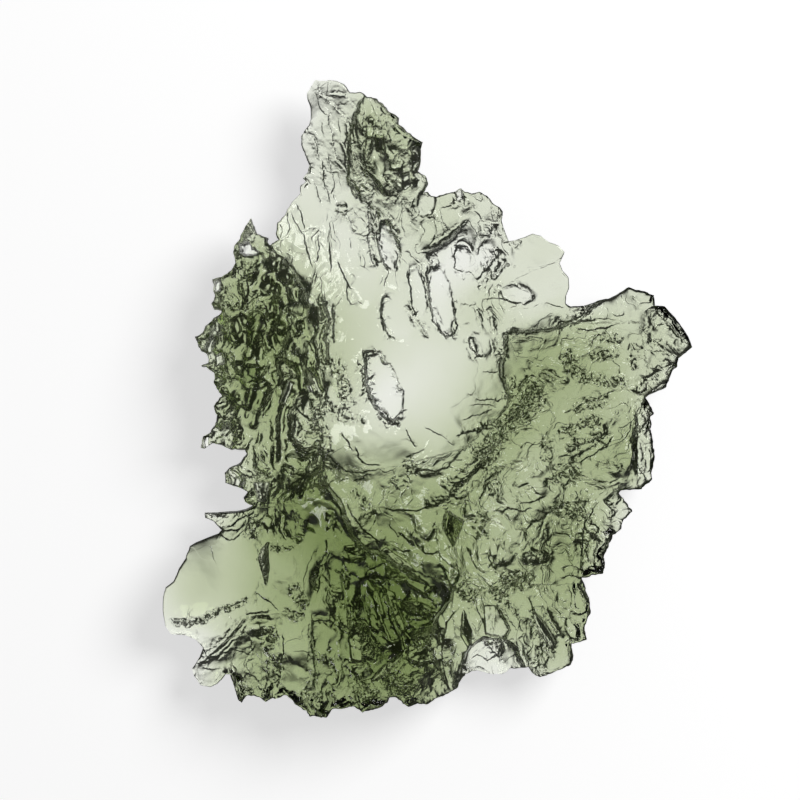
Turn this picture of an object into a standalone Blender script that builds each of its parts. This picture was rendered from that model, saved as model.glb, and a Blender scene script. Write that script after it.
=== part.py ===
"""A moldavite: one ragged, deeply etched splash of natural green glass, lying on its back.

The stone is seen from above, as it lies. +X is to its right, +Y towards the tip of its spire and
+Z up. The origin is under the middle of its bounding box, on the surface that it rests on.

Places on the stone are given in picture units, read by eye from a view straight down, with x to
the right and y downwards. Heights, depths and thicknesses are real sizes, in millimetres in the
tables and in metres everywhere else.
"""

import math
from typing import NamedTuple

import bpy
import numpy as np
from mathutils import Vector
from mathutils.geometry import delaunay_2d_cdt

MM = 0.001

# Driving dimensions
STONE_LENGTH = 40.0 * MM        # from the tip of the spire to the foot
UPPER_SPACING = 0.56 * MM       # between neighbouring points of the upper face
UNDER_SPACING = 0.86 * MM       # between neighbouring points of the underside
RIM_THICKNESS = 0.35 * MM       # of the broken edge all round
THINNEST_GLASS = 0.45 * MM      # anywhere inside the edge
EDGE_ROUNDING = 0.75 * MM       # how far in from the edge the glass reaches its full thickness
UNDERSIDE_SHARE = 0.35          # share of the edge's rounding that the underside takes
RESTING_RADIUS = 4.6 * MM       # of the flat spot that the stone lies on
RESTING_SLOPE = 0.35            # how steeply the underside rises round that spot

# The outline in picture units, from the tip of the spire down its left side and round the stone
SPIRE_LEFT = [(315, 80), (311, 86), (308, 93), (307, 99), (310, 105), (311, 111), (311, 118), (308, 124),
              (304, 131), (301, 137), (301, 144), (304, 152), (307, 158), (309, 165), (308, 171), (302, 177),
              (305, 181), (300, 186), (299, 192), (292, 202), (287, 209), (282, 217), (277, 223), (276, 232),
              (279, 239), (269, 245)]
LEFT_LOBE = [(267, 242), (268, 237), (258, 233), (254, 226), (250.5, 218), (247, 226), (242, 233), (239, 239),
             (234, 246), (233, 252), (235, 263), (231, 271), (222, 276), (213, 279), (212, 291), (214, 295),
             (211, 303), (214, 309), (221, 312), (213, 319), (205, 327), (202, 333), (195, 336), (197, 346),
             (206, 355), (208, 363), (201, 366), (207, 369), (214, 373), (213, 382), (217, 389), (221, 396),
             (216, 402), (212.5, 408), (217, 415), (214, 425), (209, 432), (202, 436), (200, 446), (204, 448),
             (212, 444), (222, 446), (231, 450), (244, 450.5)]
LEFT_NOTCHES = [(245, 454), (240, 462), (229, 468), (224, 473), (223.5, 484), (232, 486), (241, 489),
                (247, 493), (243, 498), (244, 503), (252, 506), (241, 511), (228, 512), (204, 513), (205, 518),
                (213, 522), (221, 530), (218, 534)]
LEFT_TAB = [(207, 538), (195, 543), (190, 546), (186, 558), (179, 569), (174, 581), (166, 587), (163, 597),
            (162.5, 612), (165, 627), (170, 635), (184, 636), (195, 641), (202, 649), (199, 658), (191, 670),
            (193, 677), (200, 687), (209, 688.5), (217, 685), (225, 676)]
FOOT = [(230, 676), (233, 687), (236, 698), (241, 703.5), (247, 697), (254, 695.5), (260, 698), (265, 702.5),
        (271, 699.5), (280, 698), (286, 696), (292, 701), (299, 707.5), (305, 711), (310, 717), (319, 716),
        (328, 716.5), (333, 709), (344, 708.5), (354, 705.5), (362.5, 713), (374, 709), (385, 704),
        (391, 697.5), (396, 696), (402, 704), (410, 706), (418, 703.5), (426.5, 706), (434, 700.5), (443, 698),
        (450, 693), (459, 689), (461, 682)]
LOWER_RIGHT = [(466, 674), (478, 672), (491, 675), (503, 676), (510, 671), (522, 669), (529, 668), (533, 675),
               (540, 678.5), (552, 675), (562, 670), (571, 666), (574, 660), (572, 645), (580, 643), (588, 641),
               (585, 631), (587, 622), (591, 614), (591, 603), (586, 591), (583, 578), (591, 575.5), (603, 575)]
RIGHT_SIDE = [(606, 569), (605, 558), (609, 547), (614, 537), (621, 533), (626, 520), (634, 512), (630, 506),
              (625, 500), (621, 495), (623, 491), (634, 490.5), (644, 489.5), (648, 485), (653, 481), (655, 470),
              (657.5, 458), (655, 443), (653, 430), (653, 417), (656.5, 413), (651, 406), (647, 398),
              (654, 393.5), (666, 388.5), (670, 380), (674, 371), (678, 366), (679, 358), (686, 352.5),
              (693, 347)]
RIGHT_TAB = [(690, 339), (684, 329), (676, 318), (665, 305.5), (655, 305), (654, 295), (650, 293.5),
             (645, 290.5), (636, 290), (630, 287), (621, 292), (612, 297), (600, 300), (586, 305), (572, 306),
             (567, 303)]
FAN = [(567, 295), (570, 288), (569, 277), (563, 270), (560, 263), (565, 252), (559, 246), (549, 242),
       (541, 236), (533, 233), (525, 237), (516, 239.5), (509, 240), (505.5, 231), (502, 220)]
TOP_KNOB = [(503.5, 211), (494, 203), (488, 195.5), (480, 191), (470, 192), (465, 191), (461.5, 187.5),
            (454, 192), (446, 191.5), (438, 195.5), (432, 195), (429.5, 190.5), (425, 190)]
SPIRE_RIGHT = [(428, 181), (425, 174), (419, 169), (421.5, 158), (420, 147), (422.5, 140), (416, 137),
               (408, 131), (399, 123), (399, 117.5), (392, 113), (382, 102), (376, 97.5), (368, 97), (360, 92),
               (350, 92.5), (344, 84.5), (334, 80), (326, 80.5)]
OUTLINE = (SPIRE_LEFT + LEFT_LOBE + LEFT_NOTCHES + LEFT_TAB + FOOT + LOWER_RIGHT + RIGHT_SIDE + RIGHT_TAB
           + FAN + TOP_KNOB + SPIRE_RIGHT)

SPIRE_TIP_Y = min(y for x, y in OUTLINE)
FOOT_Y = max(y for x, y in OUTLINE)
LEFT_X = min(x for x, y in OUTLINE)
RIGHT_X = max(x for x, y in OUTLINE)
MIDDLE_X = (LEFT_X + RIGHT_X) / 2
MIDDLE_Y = (SPIRE_TIP_Y + FOOT_Y) / 2
UNIT = STONE_LENGTH / (FOOT_Y - SPIRE_TIP_Y)     # the real size of one picture unit
SHARPEST = 0.6 * UPPER_SPACING / UNIT            # the narrowest form that the upper face can show


class Spot(NamedTuple):
    """A value in millimetres that holds at one place of the stone."""
    x: float
    y: float
    value: float


# How thick the glass is, place by place
GLASS_THICKNESS = [
    # the spire
    Spot(330, 95, 1.2), Spot(318, 135, 1.5), Spot(338, 150, 1.9), Spot(383, 130, 4.6), Spot(405, 160, 3.6),
    Spot(378, 175, 3.0), Spot(315, 190, 1.5), Spot(410, 190, 2.2), Spot(355, 115, 2.2),
    # the pale shelf under the spire and the knob at its right
    Spot(300, 230, 1.5), Spot(345, 245, 1.6), Spot(388, 245, 1.0), Spot(370, 290, 1.4), Spot(415, 240, 1.6),
    Spot(450, 215, 2.2), Spot(485, 208, 1.8), Spot(452, 285, 1.0), Spot(480, 260, 0.8), Spot(420, 300, 1.3),
    Spot(315, 285, 1.9), Spot(500, 320, 1.2),
    # the fan
    Spot(520, 255, 1.2), Spot(548, 270, 1.1), Spot(520, 295, 1.0), Spot(555, 300, 1.2),
    # the clear window in the middle
    Spot(355, 340, 1.4), Spot(430, 350, 1.0), Spot(480, 375, 1.0), Spot(383, 388, 0.8), Spot(345, 410, 1.2),
    Spot(430, 420, 1.3), Spot(370, 450, 0.9), Spot(480, 330, 1.1), Spot(440, 455, 1.6), Spot(340, 320, 1.6),
    # the dark lobe at the left
    Spot(250, 250, 3.5), Spot(222, 300, 3.8), Spot(262, 320, 6.6), Spot(295, 330, 5.4), Spot(213, 350, 3.2),
    Spot(260, 390, 6.0), Spot(300, 400, 4.0), Spot(222, 430, 3.2), Spot(290, 455, 4.4), Spot(245, 480, 3.0),
    Spot(318, 345, 3.8), Spot(280, 270, 4.4), Spot(312, 440, 3.4),
    # the left tab and its flakes
    Spot(215, 515, 0.8), Spot(220, 570, 2.2), Spot(190, 590, 1.9), Spot(168, 600, 0.9), Spot(210, 640, 0.8),
    Spot(205, 675, 0.9), Spot(245, 600, 2.8), Spot(180, 630, 0.9), Spot(225, 545, 1.8), Spot(248, 560, 2.4),
    # the lower left
    Spot(275, 540, 5.4), Spot(300, 580, 5.8), Spot(290, 650, 3.3), Spot(255, 650, 3.4), Spot(310, 700, 3.4),
    Spot(330, 520, 4.4), Spot(285, 510, 4.6), Spot(245, 690, 2.6), Spot(340, 690, 4.0),
    # the deep folds at the bottom
    Spot(375, 530, 2.8), Spot(370, 580, 6.8), Spot(405, 610, 8.0), Spot(380, 640, 6.8), Spot(350, 670, 4.8),
    Spot(400, 690, 3.6), Spot(440, 650, 2.6), Spot(420, 560, 4.8), Spot(345, 600, 5.4), Spot(430, 690, 3.0),
    # under the window, and the diagonal band
    Spot(360, 490, 1.9), Spot(400, 490, 1.9), Spot(440, 485, 2.6), Spot(452, 520, 4.8), Spot(480, 470, 3.6),
    Spot(510, 430, 3.4), Spot(535, 390, 3.2), Spot(400, 520, 2.6),
    # the right body
    Spot(560, 345, 2.7), Spot(600, 350, 3.0), Spot(560, 400, 2.6), Spot(620, 410, 2.6), Spot(580, 450, 3.1),
    Spot(530, 460, 2.5), Spot(600, 470, 3.0), Spot(632, 460, 4.0), Spot(650, 450, 1.4), Spot(500, 500, 2.6),
    Spot(560, 510, 4.0), Spot(490, 560, 3.0), Spot(540, 560, 3.4), Spot(585, 545, 4.4), Spot(525, 350, 2.4),
    # the right tab
    Spot(600, 312, 1.5), Spot(640, 305, 1.6), Spot(672, 340, 1.8), Spot(650, 370, 1.9),
    # the legs at the lower right and the thin flake between them
    Spot(500, 610, 3.0), Spot(545, 610, 3.6), Spot(575, 620, 2.8), Spot(550, 655, 2.4), Spot(490, 662, 0.7),
    Spot(463, 640, 2.0),
]

# How high the underside stands above the surface, before the resting spot is made flat
UNDERSIDE_HEIGHT = [
    Spot(320, 90, 3.4), Spot(340, 150, 2.2), Spot(400, 150, 1.2), Spot(290, 220, 2.0), Spot(360, 230, 1.1),
    Spot(250, 225, 2.6), Spot(215, 290, 1.9), Spot(265, 320, 0.5), Spot(200, 345, 2.2), Spot(205, 440, 2.1),
    Spot(270, 400, 0.3), Spot(235, 480, 1.8), Spot(208, 515, 2.8), Spot(170, 600, 2.9), Spot(215, 580, 1.9),
    Spot(200, 665, 2.3), Spot(265, 590, 0.6), Spot(240, 700, 1.5), Spot(310, 710, 1.4), Spot(300, 620, 0.5),
    Spot(390, 700, 1.3), Spot(400, 600, 0.3), Spot(455, 680, 1.6), Spot(490, 665, 2.2), Spot(550, 670, 1.9),
    Spot(585, 620, 1.7), Spot(530, 590, 0.7), Spot(600, 560, 1.5), Spot(640, 500, 1.9), Spot(655, 440, 1.7),
    Spot(600, 450, 0.5), Spot(690, 345, 2.9), Spot(640, 300, 2.4), Spot(600, 340, 1.1), Spot(560, 260, 2.7),
    Spot(520, 270, 1.7), Spot(480, 200, 2.1), Spot(450, 260, 0.9), Spot(520, 400, 0.3), Spot(480, 330, 0.4),
    Spot(420, 350, 0.2), Spot(350, 350, 0.2), Spot(340, 500, 0.2), Spot(480, 500, 0.2), Spot(400, 430, 0.1),
]


class Pit(NamedTuple):
    """An oval hollow etched into the upper face, with steep walls."""
    x: float
    y: float
    half_width: float
    half_length: float
    lean: float         # degrees, clockwise from upright in the picture
    depth: float        # millimetres
    tilt: float = 0.0   # how much deeper it is at its right side, as a share of the depth


PITS = [
    Pit(383, 387, 14, 36, -22, 0.65, -0.3),      # the deep pit in the window
    Pit(389, 248, 11, 26, -6, 0.70, -0.3),       # the bright oval under the spire
    Pit(365, 285, 14, 18, -10, 0.35, -0.3),
    Pit(346, 245, 11, 30, 0, 0.40, -0.2),
    Pit(400, 316, 15, 26, -24, 0.40, -0.5),
    Pit(419, 290, 10, 40, -16, 0.50, 0.4),
    Pit(443, 298, 13, 38, -10, 0.65, -0.2),
    Pit(463, 256, 8, 14, 0, 0.55, 0.2),
    Pit(486, 252, 8, 16, 25, 0.55, 0.5),
    Pit(484, 322, 8, 34, -8, 0.50, -0.2),
    Pit(452, 272, 22, 20, 20, 0.40),
    Pit(519, 295, 18, 9, 12, 0.40),
    Pit(424, 206, 10, 12, 0, 0.45),
    Pit(331, 393, 6, 13, 0, 0.45),
    Pit(352, 432, 16, 30, -30, 0.35),
]


class Line(NamedTuple):
    """A ridge, groove or step that follows a route over the upper face.

    A ridge stands above the glass beside it and a groove has a negative height. A step with a
    positive height is high at the right of someone who walks along its route in the picture.
    """
    height: float       # millimetres
    width: float        # picture units
    reach: float        # how far a step is felt to each side; 0 for a ridge or groove
    route: list


RIDGES = [
    Line(0.7, 6, 0, [(420, 249), (434, 247), (449, 240), (466, 226), (470, 205), (465, 195)]),
    Line(0.6, 6, 0, [(491, 240), (495, 223), (500, 214)]),
    Line(1.0, 8, 0, [(252, 226), (256, 262), (272, 300), (282, 350), (275, 400)]),
    Line(0.9, 8, 0, [(235, 262), (245, 300), (250, 345), (240, 380), (248, 420)]),
    Line(1.0, 7, 0, [(303, 513), (320, 532), (324, 549), (318, 576), (310, 613), (314, 655), (312, 708)]),
    Line(0.7, 6, 0, [(654, 307), (660, 319), (674, 332), (688, 343)]),
]
GROOVES = [
    Line(-0.6, 6, 0, [(369, 202), (366, 244), (374, 263), (388, 278)]),
    Line(-0.5, 6, 0, [(407, 267), (414, 309), (430, 334)]),
    Line(-0.5, 6, 0, [(428, 261), (430, 292), (440, 331), (455, 331), (457, 306)]),
    Line(-0.5, 6, 0, [(329, 103), (347, 118), (349, 140), (347, 170)]),
    Line(-0.5, 6, 0, [(307, 132), (317, 150), (324, 167), (326, 194)]),
    Line(-1.5, 7, 0, [(266, 544), (260, 559), (265, 580)]),
    Line(-0.6, 6, 0, [(165, 618), (188, 618), (207, 614), (247, 599)]),
    Line(-0.8, 6, 0, [(247, 614), (232, 632), (213, 651), (193, 668)]),
    Line(-1.4, 8, 0, [(366, 574), (398, 592), (430, 622)]),
    Line(-1.3, 7, 0, [(352, 616), (366, 628), (380, 634)]),
    Line(-1.3, 7, 0, [(402, 640), (416, 638), (428, 628)]),
    Line(-1.6, 8, 0, [(456, 512), (452, 530), (454, 548)]),
    Line(-0.8, 9, 0, [(542, 380), (515, 426), (482, 468), (463, 487), (442, 500)]),
    Line(-0.8, 7, 0, [(466, 596), (481, 600), (499, 591), (510, 575), (537, 581)]),
    Line(-0.9, 7, 0, [(563, 320), (572, 317), (591, 307), (605, 299)]),
    Line(-0.7, 6, 0, [(645, 389), (653, 376), (668, 368), (674, 363)]),
    Line(-0.9, 7, 0, [(568, 451), (587, 444), (607, 430)]),
    Line(-0.8, 7, 0, [(552, 505), (570, 508), (590, 502)]),
    Line(-1.2, 7, 0, [(467, 606), (466, 630), (464, 650)]),
    Line(-0.8, 6, 0, [(533, 614), (552, 650), (557, 663)]),
]
STEPS = [
    # round the window and the ledge under it
    Line(0.50, 5, 22, [(345, 300), (333, 303), (332, 345), (325, 384), (321, 400), (327, 454), (341, 471),
                       (373, 471)]),
    Line(0.35, 5, 20, [(373, 471), (405, 466), (436, 471), (453, 463), (463, 449), (477, 431), (500, 429)]),
    Line(0.45, 5, 20, [(500, 429), (515, 399), (507, 391), (511, 378), (503, 363), (511, 330)]),
    Line(0.45, 5, 20, [(353, 506), (398, 511), (426, 508), (445, 499), (468, 471), (482, 464)]),
    # the dark lobe and the lower left
    Line(0.8, 5, 18, [(262, 248), (266, 262), (285, 275), (302, 300), (305, 330), (300, 360)]),
    Line(0.9, 5, 16, [(212, 350), (222, 352), (230, 362), (228, 372), (214, 372)]),
    Line(0.9, 5, 18, [(288, 377), (278, 400), (274, 432), (268, 470)]),
    Line(0.7, 5, 18, [(245, 612), (274, 614), (308, 614), (331, 616), (350, 634)]),
    # the folds at the bottom
    Line(1.0, 5, 22, [(340, 530), (362, 556), (392, 585), (425, 600)]),
    Line(1.0, 5, 22, [(352, 596), (382, 612), (402, 640)]),
    Line(0.8, 5, 20, [(438, 560), (436, 596), (424, 634)]),
    Line(0.8, 5, 20, [(370, 680), (389, 657), (412, 641), (427, 643)]),
    Line(0.6, 5, 16, [(464, 604), (447, 631), (443, 660), (451, 692)]),
    Line(0.8, 5, 20, [(353, 508), (362, 530), (380, 545), (398, 548)]),
    # the right body and the legs
    Line(-0.7, 5, 20, [(491, 464), (487, 487), (464, 501), (462, 526), (457, 545), (455, 581)]),
    Line(0.5, 5, 20, [(511, 330), (553, 330), (578, 325), (618, 323)]),
    Line(0.5, 5, 18, [(530, 359), (545, 368), (566, 385)]),
    Line(0.6, 5, 18, [(553, 410), (585, 398), (620, 388)]),
    Line(-0.7, 5, 18, [(540, 475), (575, 470), (600, 484), (625, 478), (637, 440)]),
    Line(0.8, 5, 14, [(646, 402), (644, 430), (643, 455), (645, 480)]),
    Line(-0.7, 5, 14, [(600, 522), (591, 538), (584, 556), (580, 575)]),
    Line(0.8, 5, 16, [(518, 633), (522, 660), (539, 677)]),
    Line(0.7, 5, 16, [(545, 602), (552, 625), (566, 650)]),
]


class Grain(NamedTuple):
    """An area of the upper face whose etching runs one way and is equally strong."""
    across: float       # half a wave across the grain, in picture units
    along: float        # half a wave along it
    lean: float         # degrees, clockwise from upright in the picture
    height: float       # millimetres
    area: list          # its border


GRAINS = [
    # the dark lobe at the left
    Grain(15, 46, 8, 1.7, [(245, 205), (290, 262), (305, 290), (333, 303), (332, 345), (321, 400), (330, 480),
                           (300, 505), (250, 510), (180, 500), (180, 250)]),
    # the dark and the pale side of the spire
    Grain(9, 30, 6, 0.9, [(352, 90), (420, 110), (440, 190), (420, 200), (380, 215), (352, 190), (345, 140)]),
    Grain(16, 70, -4, 0.45, [(300, 70), (352, 88), (348, 140), (356, 200), (330, 225), (270, 245), (290, 150)]),
    # the pale shelf, the fan and the window
    Grain(18, 60, -8, 0.35, [(275, 235), (330, 215), (400, 195), (520, 180), (505, 330), (340, 302), (305, 290)]),
    Grain(22, 60, 60, 0.18, [(505, 235), (560, 225), (580, 300), (560, 325), (505, 330)]),
    Grain(45, 60, -20, 0.10, [(340, 302), (505, 330), (515, 399), (463, 449), (373, 471), (327, 454),
                              (321, 400)]),
    # the right body, its lower part and the diagonal band
    Grain(20, 34, 60, 0.85, [(511, 330), (566, 326), (640, 322), (660, 400), (660, 490), (625, 500), (560, 470),
                             (540, 380)]),
    Grain(18, 32, -30, 0.95, [(491, 464), (560, 470), (640, 490), (610, 590), (537, 590), (455, 590),
                              (462, 500)]),
    Grain(14, 50, 50, 0.6, [(542, 380), (560, 420), (500, 470), (455, 505), (373, 476), (463, 449),
                            (515, 399)]),
    # under the window
    Grain(16, 30, 30, 0.35, [(341, 471), (405, 466), (482, 464), (430, 508), (353, 508)]),
    Grain(12, 26, -35, 0.7, [(330, 500), (353, 508), (445, 500), (455, 560), (440, 580), (360, 560),
                             (340, 530)]),
    # the folds and the foot
    Grain(20, 60, -55, 2.2, [(330, 560), (360, 555), (440, 575), (445, 640), (400, 660), (340, 660),
                             (322, 600)]),
    Grain(12, 18, 20, 0.9, [(320, 650), (445, 640), (455, 700), (380, 715), (300, 725), (230, 710),
                            (235, 690)]),
    # the lower left, with its smooth panel
    Grain(16, 40, -5, 1.3, [(245, 505), (330, 500), (335, 620), (250, 610), (240, 560)]),
    Grain(30, 50, 10, 0.25, [(262, 615), (330, 618), (318, 700), (262, 690)]),
    Grain(10, 20, 25, 0.8, [(225, 620), (262, 612), (262, 700), (225, 690)]),
    # the left tab, its flakes and its spike
    Grain(40, 50, -30, 0.15, [(150, 530), (225, 525), (248, 560), (245, 600), (200, 625), (150, 620)]),
    Grain(16, 30, 60, 0.3, [(150, 625), (245, 600), (230, 690), (185, 695), (160, 650)]),
    Grain(8, 30, 80, 0.3, [(195, 505), (250, 505), (250, 530), (200, 530)]),
    # the right tab and the thick rim under it
    Grain(22, 50, -40, 0.3, [(566, 300), (640, 280), (700, 340), (670, 390), (650, 395), (640, 322),
                             (580, 322)]),
    Grain(10, 22, 0, 0.8, [(627, 440), (640, 395), (665, 400), (665, 490), (627, 490)]),
    # the legs and the thin flake
    Grain(14, 46, -25, 1.1, [(455, 590), (600, 575), (600, 640), (575, 670), (535, 680), (520, 640),
                             (462, 640)]),
    Grain(14, 26, -20, 0.3, [(455, 640), (520, 640), (535, 685), (455, 690)]),
]
GRAIN_BORDER = 10.0             # picture units over which one grain gives way to the next
GRAIN_LEVEL = 0.5               # the height of the noise that neither raises nor lowers the glass
UNDERSIDE_RELIEF = 0.55         # millimetres
UNDERSIDE_WAVE = 48.0           # picture units

GLASS_COLOUR = (0.30, 0.42, 0.18, 1.0)
GLASS_ROUGHNESS = 0.06
GLASS_IOR = 1.49


def to_metres(points):
    """Turn picture units into metres from the stone's middle."""
    points = np.asarray(points, dtype=float)
    return np.column_stack(((points[:, 0] - MIDDLE_X) * UNIT, (MIDDLE_Y - points[:, 1]) * UNIT))


def smooth_step(values):
    """Ease values from 0 to 1."""
    values = np.clip(values, 0.0, 1.0)
    return values * values * (3.0 - 2.0 * values)


def nearest_on_route(points, route, closed=False):
    """Distance to a run of straight pieces, the side of it, and the share of its length passed."""
    route = np.asarray(route, dtype=float)
    starts = route if closed else route[:-1]
    ends = np.roll(route, -1, axis=0) if closed else route[1:]
    lengths = np.hypot(*(ends - starts).T)
    distance = np.full(len(points), np.inf)
    side = np.zeros(len(points))
    share = np.zeros(len(points))
    passed = 0.0
    for start, end, length in zip(starts, ends, lengths):
        along = end - start
        part = np.clip((points - start) @ along / length ** 2, 0.0, 1.0)
        offset = points - start - part[:, None] * along
        reach = np.hypot(offset[:, 0], offset[:, 1])
        turn = along[0] * (points[:, 1] - start[1]) - along[1] * (points[:, 0] - start[0])
        nearer = reach < distance
        distance = np.where(nearer, reach, distance)
        side = np.where(nearer, np.sign(turn), side)
        share = np.where(nearer, (passed + part * length) / lengths.sum(), share)
        passed += length
    return distance, side, share


def is_inside(points, border):
    """True for each point that lies inside the closed border."""
    border = np.asarray(border, dtype=float)
    inside = np.zeros(len(points), dtype=bool)
    x, y = points[:, 0], points[:, 1]
    for (ax, ay), (bx, by) in zip(border, np.roll(border, -1, axis=0)):
        if ay != by:
            crosses = (ay > y) != (by > y)
            inside ^= crosses & (x < (bx - ax) * (y - ay) / (by - ay) + ax)
    return inside


def turned(points, middle, lean):
    """Coordinates across and along a direction that leans clockwise from upright."""
    angle = math.radians(lean)
    x, y = (points - middle).T
    across = x * math.cos(angle) + y * math.sin(angle)
    along = y * math.cos(angle) - x * math.sin(angle)
    return across, along


def wavy_noise(x, y, seed):
    """Smooth noise from about -1 to 1 that is the same each time for the same seed."""
    rng = np.random.default_rng(seed)
    order = rng.permutation(256)
    angle = rng.uniform(0.0, 2.0 * math.pi, 256)
    column = np.floor(x).astype(int)
    row = np.floor(y).astype(int)
    x = x - column
    y = y - row

    def corner(right, down):
        pick = order[(order[(column + right) & 255] + row + down) & 255]
        return np.cos(angle[pick]) * (x - right) + np.sin(angle[pick]) * (y - down)

    ease_x = x ** 3 * (x * (x * 6.0 - 15.0) + 10.0)
    ease_y = y ** 3 * (y * (y * 6.0 - 15.0) + 10.0)
    upper = corner(0, 0) + (corner(1, 0) - corner(0, 0)) * ease_x
    lower = corner(0, 1) + (corner(1, 1) - corner(0, 1)) * ease_x
    return (upper + (lower - upper) * ease_y) * 1.5


def crests(x, y, seed):
    """Rounded hollows with sharp crests between them, from 0 to 1."""
    return np.clip(1.0 - 1.6 * np.abs(wavy_noise(x, y, seed)), 0.0, 1.0) ** 2


def blend_spots(points, spots, sharpness=4.0, softness=9.0):
    """Blend the values of the spots over the points by inverse distance, in metres."""
    total = np.zeros(len(points))
    weights = np.zeros(len(points))
    for spot in spots:
        reach = np.hypot(points[:, 0] - spot.x, points[:, 1] - spot.y)
        weight = (reach ** 2 + softness ** 2) ** (-sharpness / 2)
        total += weight * spot.value
        weights += weight
    return total / weights * MM


def pit_depth(points):
    """How far the pits cut into the upper face, in metres."""
    depth = np.zeros(len(points))
    for pit in PITS:
        across, along = turned(points, (pit.x, pit.y), pit.lean)
        reach = np.hypot(across / pit.half_width, along / pit.half_length)
        wall = SHARPEST / pit.half_width
        floor = pit.depth * MM * (1.0 + pit.tilt * across / pit.half_width)
        depth = np.maximum(depth, floor * smooth_step((1.0 + wall - reach) / (2.0 * wall)))
    return depth


def line_relief(points):
    """The ridges, grooves and steps, added up, in metres."""
    relief = np.zeros(len(points))
    for line in RIDGES + GROOVES + STEPS:
        distance, side, share = nearest_on_route(points, line.route)
        if line.reach:
            form = side * np.tanh(distance / line.width) * np.exp(-distance / line.reach)
            form *= smooth_step(share / 0.12) * smooth_step((1.0 - share) / 0.12)
        else:
            form = np.exp(-((distance / line.width) ** 2))
        relief += line.height * MM * form
    return relief


def grain_relief(points):
    """The etching of the upper face, each area with its own grain, in metres."""
    total = np.zeros(len(points))
    weights = np.zeros(len(points))
    for number, grain in enumerate(GRAINS):
        distance = nearest_on_route(points, grain.area, closed=True)[0]
        signed = np.where(is_inside(points, grain.area), distance, -distance)
        weight = smooth_step(0.5 + signed / (2.0 * GRAIN_BORDER))
        across, along = turned(points, (MIDDLE_X, MIDDLE_Y), grain.lean)
        across = across / (2.0 * max(grain.across, 2.0 * SHARPEST))
        along = along / (2.0 * grain.along)
        form = crests(across, along, 100 + number) - GRAIN_LEVEL
        form += 0.5 * wavy_noise(across * 0.65, along * 0.9, 500 + number)
        total += weight * form * grain.height * MM
        weights += weight
    return total / np.maximum(weights, 0.6)


def edge_share(points):
    """0 at the broken edge, rising to 1 where the glass has its full thickness."""
    distance = nearest_on_route(points, OUTLINE, closed=True)[0] * UNIT
    reach = np.clip(distance / EDGE_ROUNDING, 0.0, 1.0)
    return np.sqrt(1.0 - (1.0 - reach) ** 2)


def full_thickness(points):
    """Thickness of the glass before the edge is rounded, in metres."""
    full = blend_spots(points, GLASS_THICKNESS) + grain_relief(points) + line_relief(points)
    return np.maximum(full - pit_depth(points), THINNEST_GLASS)


def glass_thickness(points):
    """Thickness of the glass with the edge rounded, in metres."""
    return RIM_THICKNESS + (full_thickness(points) - RIM_THICKNESS) * edge_share(points)


def underside_height(points, resting_centre):
    """Height of the underside, with a flat spot at zero under the stone's weight."""
    share = edge_share(points)
    lost = (full_thickness(points) - RIM_THICKNESS) * (1.0 - share)
    height = blend_spots(points, UNDERSIDE_HEIGHT) + UNDERSIDE_SHARE * lost
    wave = points / UNDERSIDE_WAVE
    height += UNDERSIDE_RELIEF * MM * crests(wave[:, 0], wave[:, 1], 300)
    beyond = np.hypot(*(to_metres(points) - resting_centre).T) - RESTING_RADIUS
    return np.minimum(height, np.maximum(beyond, 0.0) * RESTING_SLOPE)


def resting_centre():
    """Where the stone's weight lies, seen from above, in metres."""
    step = 6.0
    xs, ys = np.meshgrid(np.arange(LEFT_X, RIGHT_X, step), np.arange(SPIRE_TIP_Y, FOOT_Y, step))
    points = np.column_stack((xs.ravel(), ys.ravel()))
    points = points[is_inside(points, OUTLINE)]
    weights = glass_thickness(points)
    return (to_metres(points) * weights[:, None]).sum(axis=0) / weights.sum()


def scattered_points(spacing, seed):
    """Points inside the outline, spread evenly but not in rows, in picture units."""
    rng = np.random.default_rng(seed)
    pitch = spacing / UNIT
    rows = []
    for number, y in enumerate(np.arange(SPIRE_TIP_Y, FOOT_Y, pitch * math.sqrt(3.0) / 2.0)):
        xs = np.arange(LEFT_X + pitch / 2.0 * (number % 2), RIGHT_X, pitch)
        rows.append(np.column_stack((xs, np.full(len(xs), y))))
    points = np.concatenate(rows)
    points += rng.uniform(-0.24, 0.24, points.shape) * pitch
    clear = nearest_on_route(points, OUTLINE, closed=True)[0] > 0.42 * pitch
    return points[clear & is_inside(points, OUTLINE)]


def face_points(spacing, seed):
    """The outline's points, then scattered ones, and the triangles that join them all."""
    rim = np.asarray(OUTLINE, dtype=float)
    points = np.concatenate((rim, scattered_points(spacing, seed)))
    joined = delaunay_2d_cdt([Vector(point) for point in points], [], [list(range(len(rim)))], 1, 1e-5)
    if len(joined[0]) != len(points):
        raise ValueError("two points of the stone lie on each other")
    triangles = []
    for face in joined[2]:
        corners = [joined[3][index][0] for index in face]
        a, b, c = points[corners]
        turn = (b[0] - a[0]) * (c[1] - a[1]) - (b[1] - a[1]) * (c[0] - a[0])
        # y runs down in the picture, so a positive turn there is clockwise seen from above
        triangles.append(corners[::-1] if turn > 0 else corners)
    return points, triangles


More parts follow.
